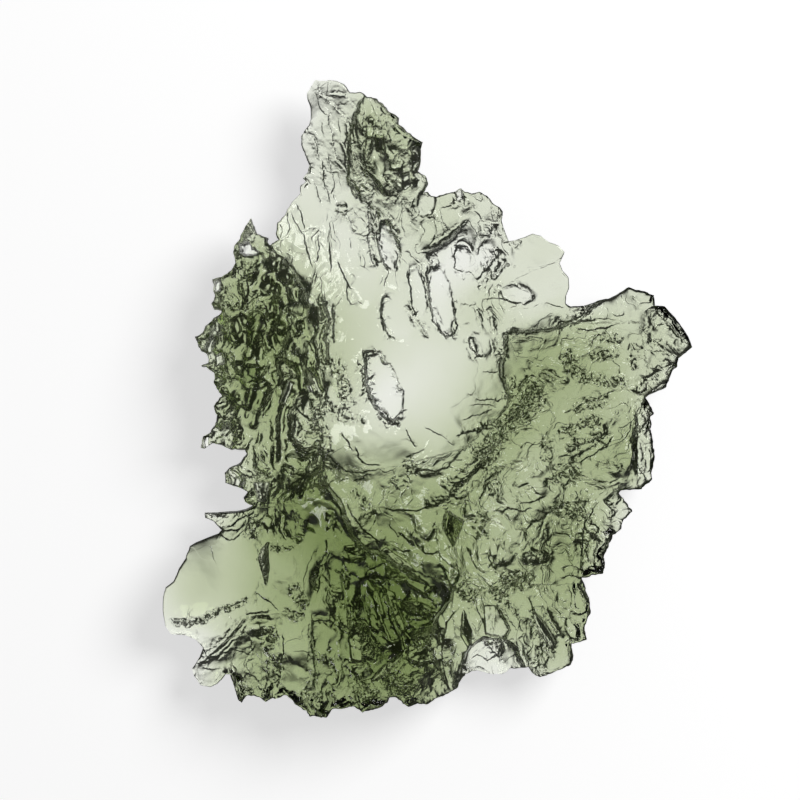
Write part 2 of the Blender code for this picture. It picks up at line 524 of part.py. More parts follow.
def stone_mesh():
    """Join the upper face, the underside and the narrow broken edge between them."""
    centre = resting_centre()
    upper_points, upper_triangles = face_points(UPPER_SPACING, seed=11)
    under_points, under_triangles = face_points(UNDER_SPACING, seed=29)
    upper_height = underside_height(upper_points, centre) + glass_thickness(upper_points)
    under_height = underside_height(under_points, centre)
    corners = np.concatenate((np.column_stack((to_metres(upper_points), upper_height)),
                              np.column_stack((to_metres(under_points), under_height))))
    first_under = len(upper_points)
    faces = [tuple(face) for face in upper_triangles]
    faces += [tuple(first_under + index for index in reversed(face)) for face in under_triangles]
    for index in range(len(OUTLINE)):
        following = (index + 1) % len(OUTLINE)
        faces.append((index, first_under + index, first_under + following))
        faces.append((index, first_under + following, following))
    mesh = bpy.data.meshes.new("moldavite")
    mesh.from_pydata(corners.tolist(), [], faces)
    return mesh


def green_glass():
    """Clear moss-green glass."""
    material = bpy.data.materials.new("green_glass")
    material.use_nodes = True
    shader = material.node_tree.nodes["Principled BSDF"]
    shader.inputs["Base Color"].default_value = GLASS_COLOUR
    shader.inputs["Roughness"].default_value = GLASS_ROUGHNESS
    shader.inputs["Metallic"].default_value = 0.0
    shader.inputs["IOR"].default_value = GLASS_IOR
    material.diffuse_color = GLASS_COLOUR
    return material


def main():
    for thing in list(bpy.data.objects):
        bpy.data.objects.remove(thing, do_unlink=True)
    mesh = stone_mesh()
    mesh.materials.append(green_glass())
    stone = bpy.data.objects.new("moldavite", mesh)
    bpy.context.scene.collection.objects.link(stone)


main()
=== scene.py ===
"""The looks of a moldavite: a ragged, deeply etched splash of clear green natural glass.

The stone lies on its back on a pale light table and is seen from straight above. Places on it are
given in picture units, read from that view, with x to the right and y downwards. A route
or an outline is written as the x and y of each of its points in turn. Widths along the surface are
in picture units too, and heights and depths are in millimetres.
"""

import logging
import math
from collections.abc import Iterator
from dataclasses import dataclass
from enum import Enum
from typing import NamedTuple

import bmesh
import bpy
import numpy as np
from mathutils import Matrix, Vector


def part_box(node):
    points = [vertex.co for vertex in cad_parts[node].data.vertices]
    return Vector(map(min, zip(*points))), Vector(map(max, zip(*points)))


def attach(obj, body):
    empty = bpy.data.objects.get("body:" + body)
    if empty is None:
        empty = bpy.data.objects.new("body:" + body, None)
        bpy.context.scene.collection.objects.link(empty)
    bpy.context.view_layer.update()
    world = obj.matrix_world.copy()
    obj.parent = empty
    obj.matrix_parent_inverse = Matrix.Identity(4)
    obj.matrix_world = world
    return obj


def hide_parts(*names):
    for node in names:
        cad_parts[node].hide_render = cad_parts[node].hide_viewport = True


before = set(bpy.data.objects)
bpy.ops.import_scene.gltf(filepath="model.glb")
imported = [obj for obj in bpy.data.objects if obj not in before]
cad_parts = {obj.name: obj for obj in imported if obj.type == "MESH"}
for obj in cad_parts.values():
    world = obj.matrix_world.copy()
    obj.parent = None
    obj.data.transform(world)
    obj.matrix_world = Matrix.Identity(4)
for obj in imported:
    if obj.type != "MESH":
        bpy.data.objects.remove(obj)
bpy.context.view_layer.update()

STONE_NODE = "moldavite"
ROOT_BODY = "root"
MM = 0.001
WHITE = (1, 1, 1, 1)
SOFT_WALL = 0.9
FINER = 2.03                # how many times finer each layer of noise is than the one before
NOISE_SHIFT = (7.3, 3.1)

log = logging.getLogger("moldavite")
Array = np.ndarray


class Side(Enum):
    """The faces of the stone, told apart by where they point."""
    UPPER = 1
    UNDER = 2
    RIM = 3


class Form(Enum):
    """What a crease does to the upper face along its route."""
    RIDGE = "stands up"
    GROOVE = "cuts down"
    STEP = "is higher at the right hand of someone who walks the route in the picture"
    CRUMPLE = "breaks up into small sharp crinkles"


@dataclass(frozen=True)
class Spot:
    """A value that holds at one place of the stone."""
    x: float
    y: float
    value: float


@dataclass(frozen=True)
class Pit:
    """An oval hollow etched into the upper face.

    The lean is in degrees, clockwise from upright. The wall is its width as a share of the pit's
    radius, and the tilt makes the pit deeper at its right side.
    """
    x: float
    y: float
    half_width: float
    half_length: float
    lean: float
    depth: float
    wall: float = 0.2
    tilt: float = 0.0


@dataclass(frozen=True)
class Crease:
    """A line of the upper face, with its height and its width.

    Grooves and ridges are drawn by the glass, and the broadest ones are cut into the mesh. The
    reach is how far the two sides of a ledge stay apart from each other's height.
    """
    form: Form
    height: float
    width: float
    route: tuple[float, ...]
    reach: float = 25.0


@dataclass(frozen=True)
class Facet:
    """A small flat face whose tilt, in degrees, falls towards a direction clockwise from up."""
    height: float
    tilt: float
    towards: float
    corners: tuple[float, ...]


@dataclass(frozen=True)
class Grain:
    """An area whose etching runs one way.

    Swells are soft, crests are sinuous ridges, steps are ledges and shards are flat chips with
    sharp borders, all cut into the mesh. Lines are thin cuts and folds are narrow ridges, with
    bold as the factor of their widths, and chips and fine are small facets and crinkles, all drawn
    by the glass. The spacing across and along the grain, the swirl that bends it and the border
    that fades it out are in picture units, and the lean is in degrees clockwise from upright.
    """
    area: tuple[float, ...]
    across: float
    along: float
    lean: float
    swell: float = 0.25
    crest: float = 0.0
    step: float = 0.0
    shard: float = 0.0
    line: float = 0.0
    fold: float = 0.0
    chip: float = 0.0
    fine: float = 0.0
    bold: float = 1.0
    swirl: float = 8.0
    border: float = 10.0


class Surfaces(NamedTuple):
    """Heights of the two faces in millimetres, and what the glass draws, one row for each place."""
    upper: Array
    under: Array
    drawn: dict[str, Array]


class Etching(NamedTuple):
    """What the grain areas give at each place."""
    relief: Array
    coarse: Array
    flow: Array
    skin: Array
    line_gap: Array
    line_depth: Array
    fold_gap: Array
    fold_height: Array


def spots(*rows: tuple[float, float, float]) -> tuple[Spot, ...]:
    """Make spots from rows of x, y and value."""
    return tuple(Spot(*row) for row in rows)


def pits(*rows: tuple[float, ...]) -> tuple[Pit, ...]:
    """Make pits from rows of their values."""
    return tuple(Pit(*row) for row in rows)


def hollows(*rows: tuple[float, ...]) -> tuple[Pit, ...]:
    """Make soft dark hollows from rows of their values up to the depth."""
    return tuple(Pit(*row, wall=SOFT_WALL) for row in rows)


def ridge(height: float, width: float, *route: float) -> Crease:
    """Name a ridge and its route."""
    return Crease(Form.RIDGE, height, width, route)


def groove(height: float, width: float, *route: float) -> Crease:
    """Name a groove and its route."""
    return Crease(Form.GROOVE, height, width, route)


def step(height: float, width: float, *route: float) -> Crease:
    """Name a ledge and its route."""
    return Crease(Form.STEP, height, width, route)


def crumple(height: float, width: float, *route: float) -> Crease:
    """Name a crinkled band and its route."""
    return Crease(Form.CRUMPLE, height, width, route)


def facet(height: float, tilt: float, towards: float, *corners: float) -> Facet:
    """Name a facet and its outline."""
    return Facet(height, tilt, towards, corners)


FOOT_Y = 717.0              # picture units: the stone's lowest, highest and leftmost places
SPIRE_TIP_Y = 80.0
LEFT_X = 162.5
PICTURE_MIDDLE = 400.0      # picture units: the middle of the view, both ways, and its width
PICTURE_WIDTH = 800.0

GLASS_THICKNESS = spots(
    # the spire
    (330, 95, 0.9), (318, 135, 0.9), (330, 150, 1.1), (378, 132, 2.7), (402, 160, 2.1), (378, 172, 2.2),
    (315, 190, 0.9), (410, 190, 1.4), (376, 112, 1.9), (384, 200, 1.5), (352, 184, 1.3), (335, 115, 1.0),
     (345, 95, 1.0),
    # the pale shelf under the spire and the knob at its right
    (300, 230, 1.2), (345, 245, 1.0), (388, 245, 1.0), (370, 290, 1.4), (415, 235, 1.5), (445, 225, 1.5),
    (485, 208, 1.2), (454, 262, 0.5), (480, 256, 0.5), (420, 300, 1.2), (315, 285, 1.9), (475, 318, 1.6),
    (492, 300, 1.9), (445, 290, 0.9),
    # the fan
    (520, 255, 1.2), (548, 270, 1.1), (520, 295, 1.0), (540, 316, 1.3), (508, 316, 1.4),
    # the clear window in the middle
    (350, 340, 1.9), (430, 350, 1.0), (480, 345, 1.3), (480, 374, 1.8), (383, 388, 0.8), (345, 405, 1.7),
     (430, 420, 1.4),
    (370, 440, 1.5), (480, 395, 1.9), (440, 450, 1.8), (340, 320, 2.1), (360, 375, 1.8), (340, 434, 2.0),
    (400, 460, 2.7),
    # the dark lobe at the left
    (250, 250, 2.4), (222, 300, 2.6), (262, 320, 4.6), (295, 330, 3.7), (213, 350, 2.2), (260, 390, 4.2),
    (300, 400, 2.7), (222, 430, 2.2), (290, 455, 3.0), (245, 480, 1.8), (318, 345, 2.9), (280, 270, 2.6),
    (312, 440, 2.3),
    # the left tab and its flakes
    (215, 515, 0.8), (216, 572, 2.2), (196, 600, 2.1), (192, 578, 2.0), (174, 592, 1.3), (165, 592, 1.0),
    (165, 610, 1.0), (184, 556, 1.6), (205, 543, 1.7), (228, 548, 2.2), (210, 636, 1.0), (205, 675, 0.8),
    (182, 628, 0.9), (240, 590, 2.5), (250, 562, 2.8), (235, 612, 2.2), (226, 640, 1.6),
    # the lower left
    (278, 540, 4.5), (292, 575, 3.6), (290, 650, 3.2), (258, 655, 3.4), (305, 700, 3.6), (326, 522, 5.6),
    (295, 515, 5.5), (245, 690, 2.9), (340, 690, 4.4), (312, 550, 4.8), (280, 602, 3.9), (322, 645, 4.4),
    (258, 592, 3.3), (330, 600, 4.8), (256, 530, 3.4), (308, 488, 5.0),
    # the deep folds at the bottom
    (368, 580, 7.0), (402, 605, 7.0), (385, 640, 6.8), (352, 665, 5.0), (400, 690, 4.4), (345, 572, 6.8),
    (456, 648, 2.5), (444, 636, 3.0), (425, 562, 4.6), (345, 602, 6.0), (430, 690, 3.2), (412, 622, 6.8),
     (436, 590, 5.4), (414, 655, 5.8),
    (464, 612, 3.1), (392, 535, 5.0),
    # under the window, and the diagonal band
    (356, 492, 4.0), (362, 474, 3.0), (392, 497, 3.7), (390, 476, 2.9), (430, 490, 3.3), (452, 520, 4.3),
     (480, 470, 3.6), (508, 432, 3.8),
    (548, 392, 3.4), (400, 516, 4.2), (425, 528, 4.0), (362, 515, 3.6),
    # the right body
    (560, 345, 3.4), (600, 350, 3.0), (560, 400, 3.1), (620, 410, 2.6), (580, 450, 3.1), (530, 460, 2.5),
    (600, 475, 3.2), (632, 460, 3.2), (650, 450, 1.4), (500, 500, 2.6), (560, 510, 3.4), (490, 560, 3.0),
    (540, 560, 3.4), (580, 545, 4.0), (532, 350, 3.4), (532, 384, 3.9), (625, 500, 1.2), (612, 535, 1.5),
    # the right tab
    (600, 312, 1.5), (640, 305, 1.6), (672, 340, 1.8), (650, 370, 1.9),
    # the legs at the lower right and the thin flake between them
    (500, 610, 3.0), (545, 610, 3.2), (575, 620, 2.8), (550, 655, 2.4), (490, 664, 0.5),
)

UNDERSIDE_HEIGHT = spots(
    (320, 90, 3.4), (340, 150, 2.2), (400, 150, 1.2), (290, 220, 2.0), (360, 230, 1.1), (250, 225, 2.6),
    (215, 290, 1.9), (265, 320, 1.6), (200, 345, 2.2), (205, 440, 2.1), (270, 400, 1.4), (235, 480, 1.8),
    (208, 515, 2.8), (170, 600, 2.9), (215, 580, 1.9), (200, 665, 2.3), (265, 590, 0.6), (240, 700, 1.5),
    (310, 710, 1.4), (300, 620, 0.5), (390, 700, 1.3), (400, 600, 0.3), (455, 680, 1.6), (490, 665, 2.2),
    (550, 670, 1.9), (585, 620, 1.7), (530, 590, 0.7), (600, 560, 1.5), (640, 500, 1.9), (655, 440, 1.7),
    (600, 450, 0.5), (690, 345, 2.9), (640, 300, 2.4), (600, 340, 1.1), (560, 260, 2.7), (520, 270, 1.7),
    (480, 200, 2.1), (450, 260, 0.9), (520, 400, 0.3), (480, 330, 0.4), (420, 350, 0.2), (350, 350, 0.2),
    (340, 500, 0.2), (480, 500, 0.2), (400, 430, 0.1),
)

RIM_ROUNDING = spots(
    (300, 150, 1.6), (325, 85, 1.6), (350, 90, 2.2), (400, 115, 3.0), (420, 180, 2.8), (470, 195, 2.6),
    (505, 225, 1.8), (530, 237, 1.2), (560, 270, 1.2), (567, 300, 1.5), (620, 292, 2.2), (690, 345, 3.5),
    (660, 385, 4.0), (657, 440, 2.4), (650, 485, 2.6), (625, 510, 2.0), (605, 550, 2.4), (590, 590, 3.4),
     (587, 620, 3.4),
    (560, 672, 2.6), (490, 678, 1.2), (450, 690, 1.8), (400, 705, 3.2), (320, 715, 3.2), (245, 700, 3.2),
    (205, 688, 1.2), (165, 620, 1.2), (165, 580, 1.2), (200, 540, 1.2), (208, 515, 1.6), (235, 480, 2.2),
    (205, 440, 3.2), (200, 360, 3.2), (205, 300, 3.0), (240, 240, 2.6), (290, 215, 1.6),
)

RIM_SHARE = spots(
    (300, 150, 0.85), (325, 85, 0.85), (355, 92, 0.6), (400, 115, 0.35), (420, 180, 0.5), (440, 200, 0.5),
    (470, 195, 0.6),
    (505, 225, 0.8), (530, 237, 0.9), (560, 270, 0.9), (567, 300, 0.7), (620, 292, 0.45), (690, 345, 0.25),
    (660, 385, 0.2), (657, 440, 0.3), (650, 485, 0.3), (625, 510, 0.6), (605, 550, 0.5), (590, 590, 0.3),
     (587, 620, 0.2),
    (560, 672, 0.3), (490, 678, 0.9), (450, 690, 0.5), (400, 705, 0.3), (320, 715, 0.3), (245, 700, 0.25),
    (205, 688, 0.8), (165, 620, 0.9), (165, 580, 0.9), (200, 540, 0.9), (208, 515, 0.6), (235, 480, 0.4),
    (205, 440, 0.35), (200, 360, 0.35), (205, 300, 0.4), (240, 240, 0.5), (290, 215, 0.9),
)

RIM_JAGS = spots(
    (300, 150, 1.4), (400, 115, 1.6), (470, 195, 1.4), (555, 250, 0.4), (568, 290, 0.4), (620, 292, 0.9),
    (690, 345, 0.8), (660, 385, 1.4), (657, 440, 1.8), (625, 510, 1.8), (600, 560, 1.8), (560, 672, 1.2),
    (490, 678, 1.4), (400, 705, 1.8), (245, 700, 1.4), (205, 688, 0.5), (165, 600, 0.4), (200, 540, 0.5),
    (205, 440, 1.6), (200, 360, 1.8), (240, 240, 1.4), (290, 215, 1.4),
)

PITS = pits(
    (383, 387, 15, 36, -22, 0.36, 0.17, -0.3), (389, 245, 10, 24, -8, 0.39, 0.19, -0.3),
    (365, 285, 14, 18, -10, 0.18, 0.36, -0.3), (346, 247, 12, 30, 0, 0.09, 0.36, -0.2),
    (398, 316, 14, 25, -24, 0.23, 0.24, -0.5), (418, 290, 8, 28, -12, 0.23, 0.24, 0.3),
    (442, 300, 12, 36, -10, 0.36, 0.19, -0.2), (463, 256, 8, 15, 0, 0.14, 0.3, 0.0),
    (486, 252, 8, 14, 22, 0.14, 0.3, 0.2), (498, 269, 5, 9, 25, 0.10, 0.3, 0.0),
    (452, 284, 20, 18, 20, 0.08, 0.30, 0.0), (479, 321, 5, 14, -8, 0.10, 0.30, 0.0),
    (490, 318, 5, 13, -8, 0.12, 0.30, 0.0), (482, 344, 11, 15, -14, 0.18, 0.25, -0.4),
    (518, 294, 17, 9, 12, 0.26, 0.24, 0.0), (426, 203, 9, 11, 10, 0.26, 0.24, 0.0),
    (331, 395, 6, 12, -10, 0.26, 0.30, 0.0), (494, 551, 4, 8, 0, 0.23, 0.30, 0.0),
    (505, 557, 8, 9, 30, 0.23, 0.30, 0.0), (518, 537, 8, 8, 30, 0.20, 0.30, 0.0),
    (540, 488, 8, 6, 60, 0.23, 0.30, 0.0), (598, 444, 10, 4, 25, 0.16, 0.30, 0.0),
) + hollows(
    (250, 303, 4, 8, 0, 0.7), (246, 322, 6, 6, 0, 0.8), (268, 286, 5, 7, 20, 0.7),
    (273, 264, 4, 6, 0, 0.6), (287, 278, 4, 6, -30, 0.6), (273, 309, 4, 7, 0, 0.6),
    (280, 328, 5, 5, 0, 0.6), (273, 338, 4, 6, 0, 0.6), (238, 328, 5, 8, 0, 0.7),
    (247, 338, 4, 6, 0, 0.6), (284, 367, 5, 7, -20, 0.9), (293, 371, 4, 6, -20, 0.7),
    (314, 380, 4, 9, -20, 0.8), (318, 389, 4, 6, -20, 0.6), (240, 367, 5, 4, 0, 0.6),
    (218, 380, 7, 4, 0, 0.7), (222, 403, 6, 9, 40, 0.9), (232, 412, 5, 8, 40, 0.8),
    (226, 430, 6, 8, 30, 0.8), (307, 404, 4, 6, 0, 0.6), (221, 329, 6, 11, -15, 0.9),
    (277, 291, 3, 5, 0, 0.5), (262, 350, 5, 8, 10, 0.7), (416, 604, 19, 6, 25, 0.5),
    (418, 634, 9, 5, 0, 0.9), (366, 638, 9, 16, -35, 0.8), (352, 590, 6, 10, 0, 0.8),
    (532, 558, 8, 4, 0, 0.6), (592, 556, 6, 18, 30, 0.5), (572, 628, 4, 10, -20, 0.3),
    (640, 458, 4, 18, 0, 0.6), (264, 627, 11, 5, -20, 0.7), (370, 130, 3, 6, 0, 0.3),
    (378, 147, 4, 8, 0, 0.35), (393, 149, 4, 3, 0, 0.3),
)

CREASES = (
    # the spire
    step(0.40, 2.0, 356, 200, 348, 176, 347, 153, 349, 134, 352, 124, 358, 110, 364, 98),
    groove(0.45, 2.2, 315, 81, 322, 95, 328, 98, 329, 105),
    groove(0.45, 2.2, 329, 105, 335, 104, 340, 112, 346, 119, 349, 126, 349, 134, 347, 142, 346, 157),
    groove(0.40, 2.2, 329, 93, 336, 93, 344, 94, 349, 99, 357, 110),
    groove(0.40, 2.0, 328, 112, 328, 124, 332, 131, 334, 144, 336, 159, 344, 167, 347, 174),
    groove(0.35, 2.0, 340, 140, 344, 146, 347, 153, 347, 172),
    groove(0.45, 2.4, 305, 130, 314, 137, 317, 147, 318, 153, 322, 162, 324, 172, 323, 181, 328, 192,
           331, 206),
    groove(0.30, 1.8, 326, 150, 330, 162, 331, 170, 334, 181, 332, 192, 336, 203),
    ridge(0.50, 2.2, 346, 172, 351, 185, 357, 198),
    groove(0.40, 2.2, 344, 208, 351, 223, 357, 230),
    groove(0.60, 2.6, 335, 206, 341, 208, 347, 207),
    groove(0.55, 2.8, 381, 173, 391, 185, 401, 198),
    groove(0.35, 2.0, 402, 196, 403, 213),
    groove(0.40, 2.2, 384, 206, 392, 219, 396, 227),
    step(0.40, 2.0, 301, 130, 305, 126, 312, 131),
    groove(0.45, 2.4, 303, 160, 309, 165, 311, 172),
    groove(0.50, 2.2, 302, 177, 308, 183, 304, 187),
    groove(0.30, 2.0, 309, 178, 316, 184, 318, 194, 322, 205),
    groove(0.30, 2.0, 296, 203, 302, 217, 305, 229),
    groove(0.25, 1.8, 290, 212, 295, 221, 302, 232, 307, 245),
    step(0.55, 2.2, 405, 166, 412, 170, 417, 178, 413, 190),
    step(0.45, 2.2, 407, 148, 414, 152, 419, 158),
    groove(0.60, 2.6, 372, 98, 380, 106, 389, 116, 398, 128, 406, 136, 418, 141),
    groove(0.40, 2.2, 376, 112, 381, 124, 389, 135, 396, 146),
    groove(0.40, 2.2, 366, 110, 362, 122, 365, 138, 361, 152),
    groove(0.50, 2.4, 388, 150, 397, 154, 404, 160, 403, 172),
    # the shelf under the spire
    groove(0.65, 3.0, 369, 198, 368, 210, 369, 223, 368, 242, 372, 259, 378, 271),
    groove(0.60, 2.8, 377, 205, 374, 220, 376, 236, 381, 255, 389, 270),
    groove(0.45, 2.4, 391, 223, 398, 234, 401, 241),
    groove(0.45, 2.4, 393, 242, 399, 250, 398, 259, 400, 269),
    groove(0.35, 2.2, 329, 225, 328, 240, 330, 256, 331, 272),
    groove(0.25, 2.0, 318, 232, 319, 248, 316, 262),
    groove(0.40, 2.2, 336, 257, 341, 270, 347, 284, 347, 298, 351, 305, 358, 301, 363, 305),
    groove(0.25, 1.8, 343, 294, 337, 304),
    groove(0.20, 1.8, 303, 238, 308, 254, 313, 268),
    groove(0.20, 1.8, 357, 240, 362, 254, 366, 268),
    groove(0.20, 1.8, 348, 236, 351, 247),
    groove(0.70, 3.0, 387, 291, 382, 301, 381, 312, 383, 326, 389, 335, 397, 340),
    groove(0.30, 2.0, 403, 307, 411, 313),
    groove(0.65, 2.8, 411, 313, 417, 319, 421, 324, 430, 336),
    groove(0.50, 2.6, 407, 268, 409, 280, 411, 290, 412, 306, 417, 317),
    groove(0.30, 2.0, 409, 268, 418, 263, 426, 261),
    groove(0.65, 2.6, 426, 261, 427, 272, 428, 282, 428, 292, 431, 305, 435, 316, 441, 328, 444, 334),
    groove(0.65, 2.6, 441, 328, 445, 335, 450, 336, 456, 332, 458, 324, 455, 315, 456, 307),
    groove(0.25, 1.8, 437, 260, 437, 266, 443, 273),
    groove(0.20, 1.8, 441, 280, 444, 287, 450, 293),
    groove(0.30, 1.8, 446, 291, 452, 297, 459, 303),
    groove(0.45, 2.2, 463, 302, 469, 305, 477, 303),
    groove(0.55, 2.4, 457, 243, 455, 256, 456, 267, 464, 271),
    groove(0.50, 2.2, 457, 243, 463, 241, 469, 244, 472, 251),
    groove(0.50, 2.4, 463, 271, 464, 278),
    groove(0.45, 2.2, 464, 271, 472, 270, 476, 278, 481, 277, 483, 268),
    groove(0.35, 2.0, 485, 239, 481, 246, 479, 254),
    groove(0.80, 3.4, 497, 247, 493, 257, 488, 264, 482, 268),
    groove(0.60, 2.8, 499, 260, 504, 262, 500, 270, 494, 278),
    groove(0.50, 2.4, 491, 268, 492, 277, 496, 280),
    crumple(0.25, 4.0, 486, 272, 492, 276, 482, 284, 478, 292),
    groove(0.30, 1.8, 509, 240, 515, 249, 521, 244, 523, 239),
    groove(0.45, 2.2, 477, 308, 479, 320, 482, 334),
    groove(0.60, 2.8, 487, 306, 491, 320, 494, 334),
    groove(0.60, 2.8, 470, 336, 471, 345, 477, 353, 486, 358),
    groove(0.30, 1.8, 492, 339, 494, 349, 491, 357),
    # the knob and the fan
    groove(0.55, 2.6, 415, 196, 411, 207, 414, 214, 422, 216, 431, 214, 436, 206),
    groove(0.25, 2.0, 409, 219, 413, 224, 418, 229),
    step(0.60, 2.0, 470, 214, 468, 219, 459, 228, 451, 237, 441, 244, 431, 248, 418, 250),
    groove(0.50, 2.4, 418, 250, 431, 248, 441, 244, 451, 237, 459, 228, 468, 219),
    groove(0.35, 2.2, 430, 244, 444, 235, 452, 230, 462, 221),
    groove(0.70, 3.2, 429, 260, 438, 256),
    groove(0.40, 2.2, 454, 243, 460, 236, 468, 234),
    groove(0.60, 3.0, 452, 196, 456, 203, 463, 203, 467, 196),
    groove(0.70, 3.0, 493, 222, 493, 229, 491, 237),
    groove(0.35, 2.0, 484, 224, 488, 221, 494, 222, 500, 222),
    groove(0.30, 1.8, 490, 205, 496, 214, 500, 224),
    groove(0.25, 1.8, 480, 224, 478, 232, 482, 230),
    groove(0.55, 2.4, 505, 222, 507, 232, 510, 240, 503, 243),
    groove(0.40, 2.2, 500, 286, 508, 282, 516, 283, 523, 287, 532, 290),
    groove(0.35, 2.0, 535, 293, 527, 300, 519, 305, 509, 307),
    groove(0.40, 2.2, 484, 299, 495, 297, 505, 299, 506, 301),
    crumple(0.25, 4.0, 497, 284, 499, 294),
    groove(0.10, 2.0, 519, 266, 530, 270, 538, 262),
    groove(0.12, 2.0, 549, 284, 556, 288, 566, 287),
    groove(0.30, 2.0, 545, 302, 555, 305, 566, 308),
    groove(0.12, 2.0, 492, 306, 510, 309, 532, 307, 545, 302),
    # the clear window and its borders
    groove(0.75, 3.0, 332, 302, 334, 322, 333, 343),
    groove(0.45, 2.4, 321, 342, 315, 354),
    groove(0.45, 2.2, 313, 295, 318, 301, 328, 302),
    crumple(0.35, 7.0, 333, 352, 338, 366, 342, 382, 346, 400, 354, 412),
    crumple(0.35, 6.0, 321, 398, 330, 410, 340, 416, 352, 418, 368, 421),
    crumple(0.25, 5.0, 321, 424, 324, 440, 331, 456),
    step(0.30, 2.6, 320, 446, 332, 463, 345, 471),
    step(0.30, 2.6, 404, 464, 424, 476, 446, 473),
    groove(0.25, 2.0, 324, 450, 332, 463, 345, 471, 363, 474, 380, 468),
    groove(0.30, 2.0, 355, 446, 359, 460, 366, 465, 380, 466),
    groove(0.15, 2.0, 340, 432, 348, 442, 352, 452),
    groove(0.85, 4.0, 363, 348, 364, 359, 366, 370, 367, 381, 367, 392, 373, 402),
    groove(0.90, 4.0, 371, 399, 376, 408, 381, 415, 389, 422, 402, 426),
    groove(0.45, 2.4, 366, 348, 374, 348, 381, 355, 388, 364, 394, 373, 397, 384, 400, 393),
    groove(0.30, 2.0, 394, 419, 401, 413, 409, 409),
    crumple(0.30, 4.0, 392, 388, 399, 392, 404, 388),
    groove(0.40, 2.2, 405, 427, 408, 437, 415, 447),
    ridge(0.35, 2.0, 401, 464, 413, 457, 425, 450),
    crumple(0.40, 5.0, 405, 462, 411, 469, 422, 470),
    groove(0.40, 2.2, 412, 469, 424, 470, 436, 472, 449, 467, 457, 458, 464, 447),
    groove(0.25, 2.0, 424, 426, 436, 433, 445, 438, 453, 446),
    groove(0.40, 2.2, 456, 437, 464, 434, 471, 431, 478, 431),
    groove(0.75, 3.4, 476, 431, 488, 428, 499, 430),
    groove(0.35, 2.0, 500, 428, 504, 420, 510, 411),
    step(0.35, 1.6, 500, 334, 512, 331, 530, 332, 548, 330, 568, 324, 600, 318),
    step(0.60, 1.8, 496, 424, 510, 402, 507, 388, 501, 372, 505, 350, 507, 334, 516, 322),
    crumple(0.45, 5.0, 509, 376, 512, 386, 508, 396, 505, 402),
    crumple(0.35, 5.0, 505, 330, 501, 342, 502, 354, 503, 364),
    groove(0.50, 2.4, 518, 315, 513, 324, 507, 332),
    groove(0.35, 2.0, 466, 392, 478, 399, 498, 401, 504, 398),
    groove(0.25, 2.0, 482, 371, 497, 372, 507, 377),
    groove(0.20, 1.8, 470, 405, 484, 404, 498, 408),
    groove(0.12, 1.8, 461, 420, 478, 415, 494, 410),
    groove(0.15, 1.8, 418, 347, 426, 349, 434, 348),
    groove(0.08, 2.0, 424, 361, 419, 370, 420, 382),
    # under the window, and the dark diagonal
    groove(0.50, 2.4, 343, 503, 348, 521, 356, 541, 363, 548, 370, 553),
    groove(0.50, 2.2, 347, 500, 351, 514, 362, 528, 376, 539, 381, 548),
    groove(1.00, 6.0, 424, 510, 447, 498, 463, 483, 478, 468, 488, 453, 498, 437),
    groove(0.80, 5.0, 492, 441, 503, 428, 514, 413, 526, 398, 540, 386),
    crumple(0.45, 8.0, 486, 452, 500, 434, 514, 414, 530, 396),
    groove(0.35, 2.0, 380, 508, 398, 511, 418, 510, 439, 503, 452, 493),
    groove(0.35, 2.0, 353, 480, 362, 478, 371, 474),
    crumple(0.30, 7.0, 350, 487, 358, 495, 366, 505, 372, 520),
    crumple(0.25, 6.0, 388, 480, 400, 484, 412, 478),
    step(1.40, 2.0, 318, 468, 330, 490, 340, 503, 345, 518, 352, 534, 364, 547, 380, 552, 398, 565, 412,
         575,
         426, 582, 441, 592),
    step(1.60, 2.0, 463, 562, 457, 580, 450, 598, 441, 609, 434, 621, 432, 635, 426, 640, 430, 651, 439,
         666, 446, 690),
    step(1.10, 2.0, 524, 650, 505, 640, 484, 639, 470, 647, 461, 666, 455, 690),
    groove(0.60, 2.0, 446, 510, 463, 521, 455, 543, 448, 533, 443, 521, 446, 510),
    groove(0.45, 2.6, 384, 542, 393, 545, 404, 551, 412, 548),
    groove(0.40, 2.4, 398, 531, 406, 538, 414, 546),
    groove(0.45, 2.6, 422, 545, 424, 552, 432, 553, 438, 549),
    groove(0.80, 4.0, 457, 476, 468, 466, 480, 456, 494, 444, 506, 436),
    groove(0.60, 3.4, 445, 494, 456, 486, 463, 478, 470, 470),
    groove(0.60, 3.0, 508, 424, 520, 412, 532, 404, 544, 396),
    groove(0.45, 2.6, 500, 436, 514, 430, 528, 424, 540, 416),
    groove(0.40, 2.4, 520, 423, 530, 421, 538, 412),
    crumple(0.55, 12.0, 520, 378, 528, 388, 534, 398, 522, 410),
    crumple(0.45, 10.0, 500, 440, 488, 452, 476, 462),
    step(0.50, 3.0, 466, 498, 464, 512, 462, 520),
    # the dark lobe at the left
    groove(0.90, 3.0, 268, 245, 277, 255, 284, 258),
    ridge(0.80, 4.5, 260, 252, 264, 273, 266, 286),
    step(0.70, 2.6, 235, 262, 244, 256, 258, 257),
    groove(0.70, 3.0, 241, 262, 246, 270, 254, 268, 256, 260),
    groove(0.60, 2.6, 240, 275, 247, 281, 250, 292, 246, 302),
    groove(0.60, 2.6, 230, 281, 233, 292, 240, 300, 240, 312),
    groove(0.70, 3.0, 213, 313, 220, 313, 227, 318, 228, 330, 230, 338),
    ridge(0.80, 4.2, 230, 314, 231, 328, 236, 338, 240, 348),
    groove(0.60, 2.4, 215, 292, 225, 290, 234, 296),
    groove(0.40, 2.0, 222, 296, 227, 305, 226, 312),
    groove(0.40, 2.0, 229, 294, 235, 302, 235, 311),
    step(0.70, 2.6, 243, 367, 250, 364, 260, 368, 262, 380, 254, 387),
    groove(0.80, 3.0, 245, 312, 247, 304, 256, 298, 260, 290),
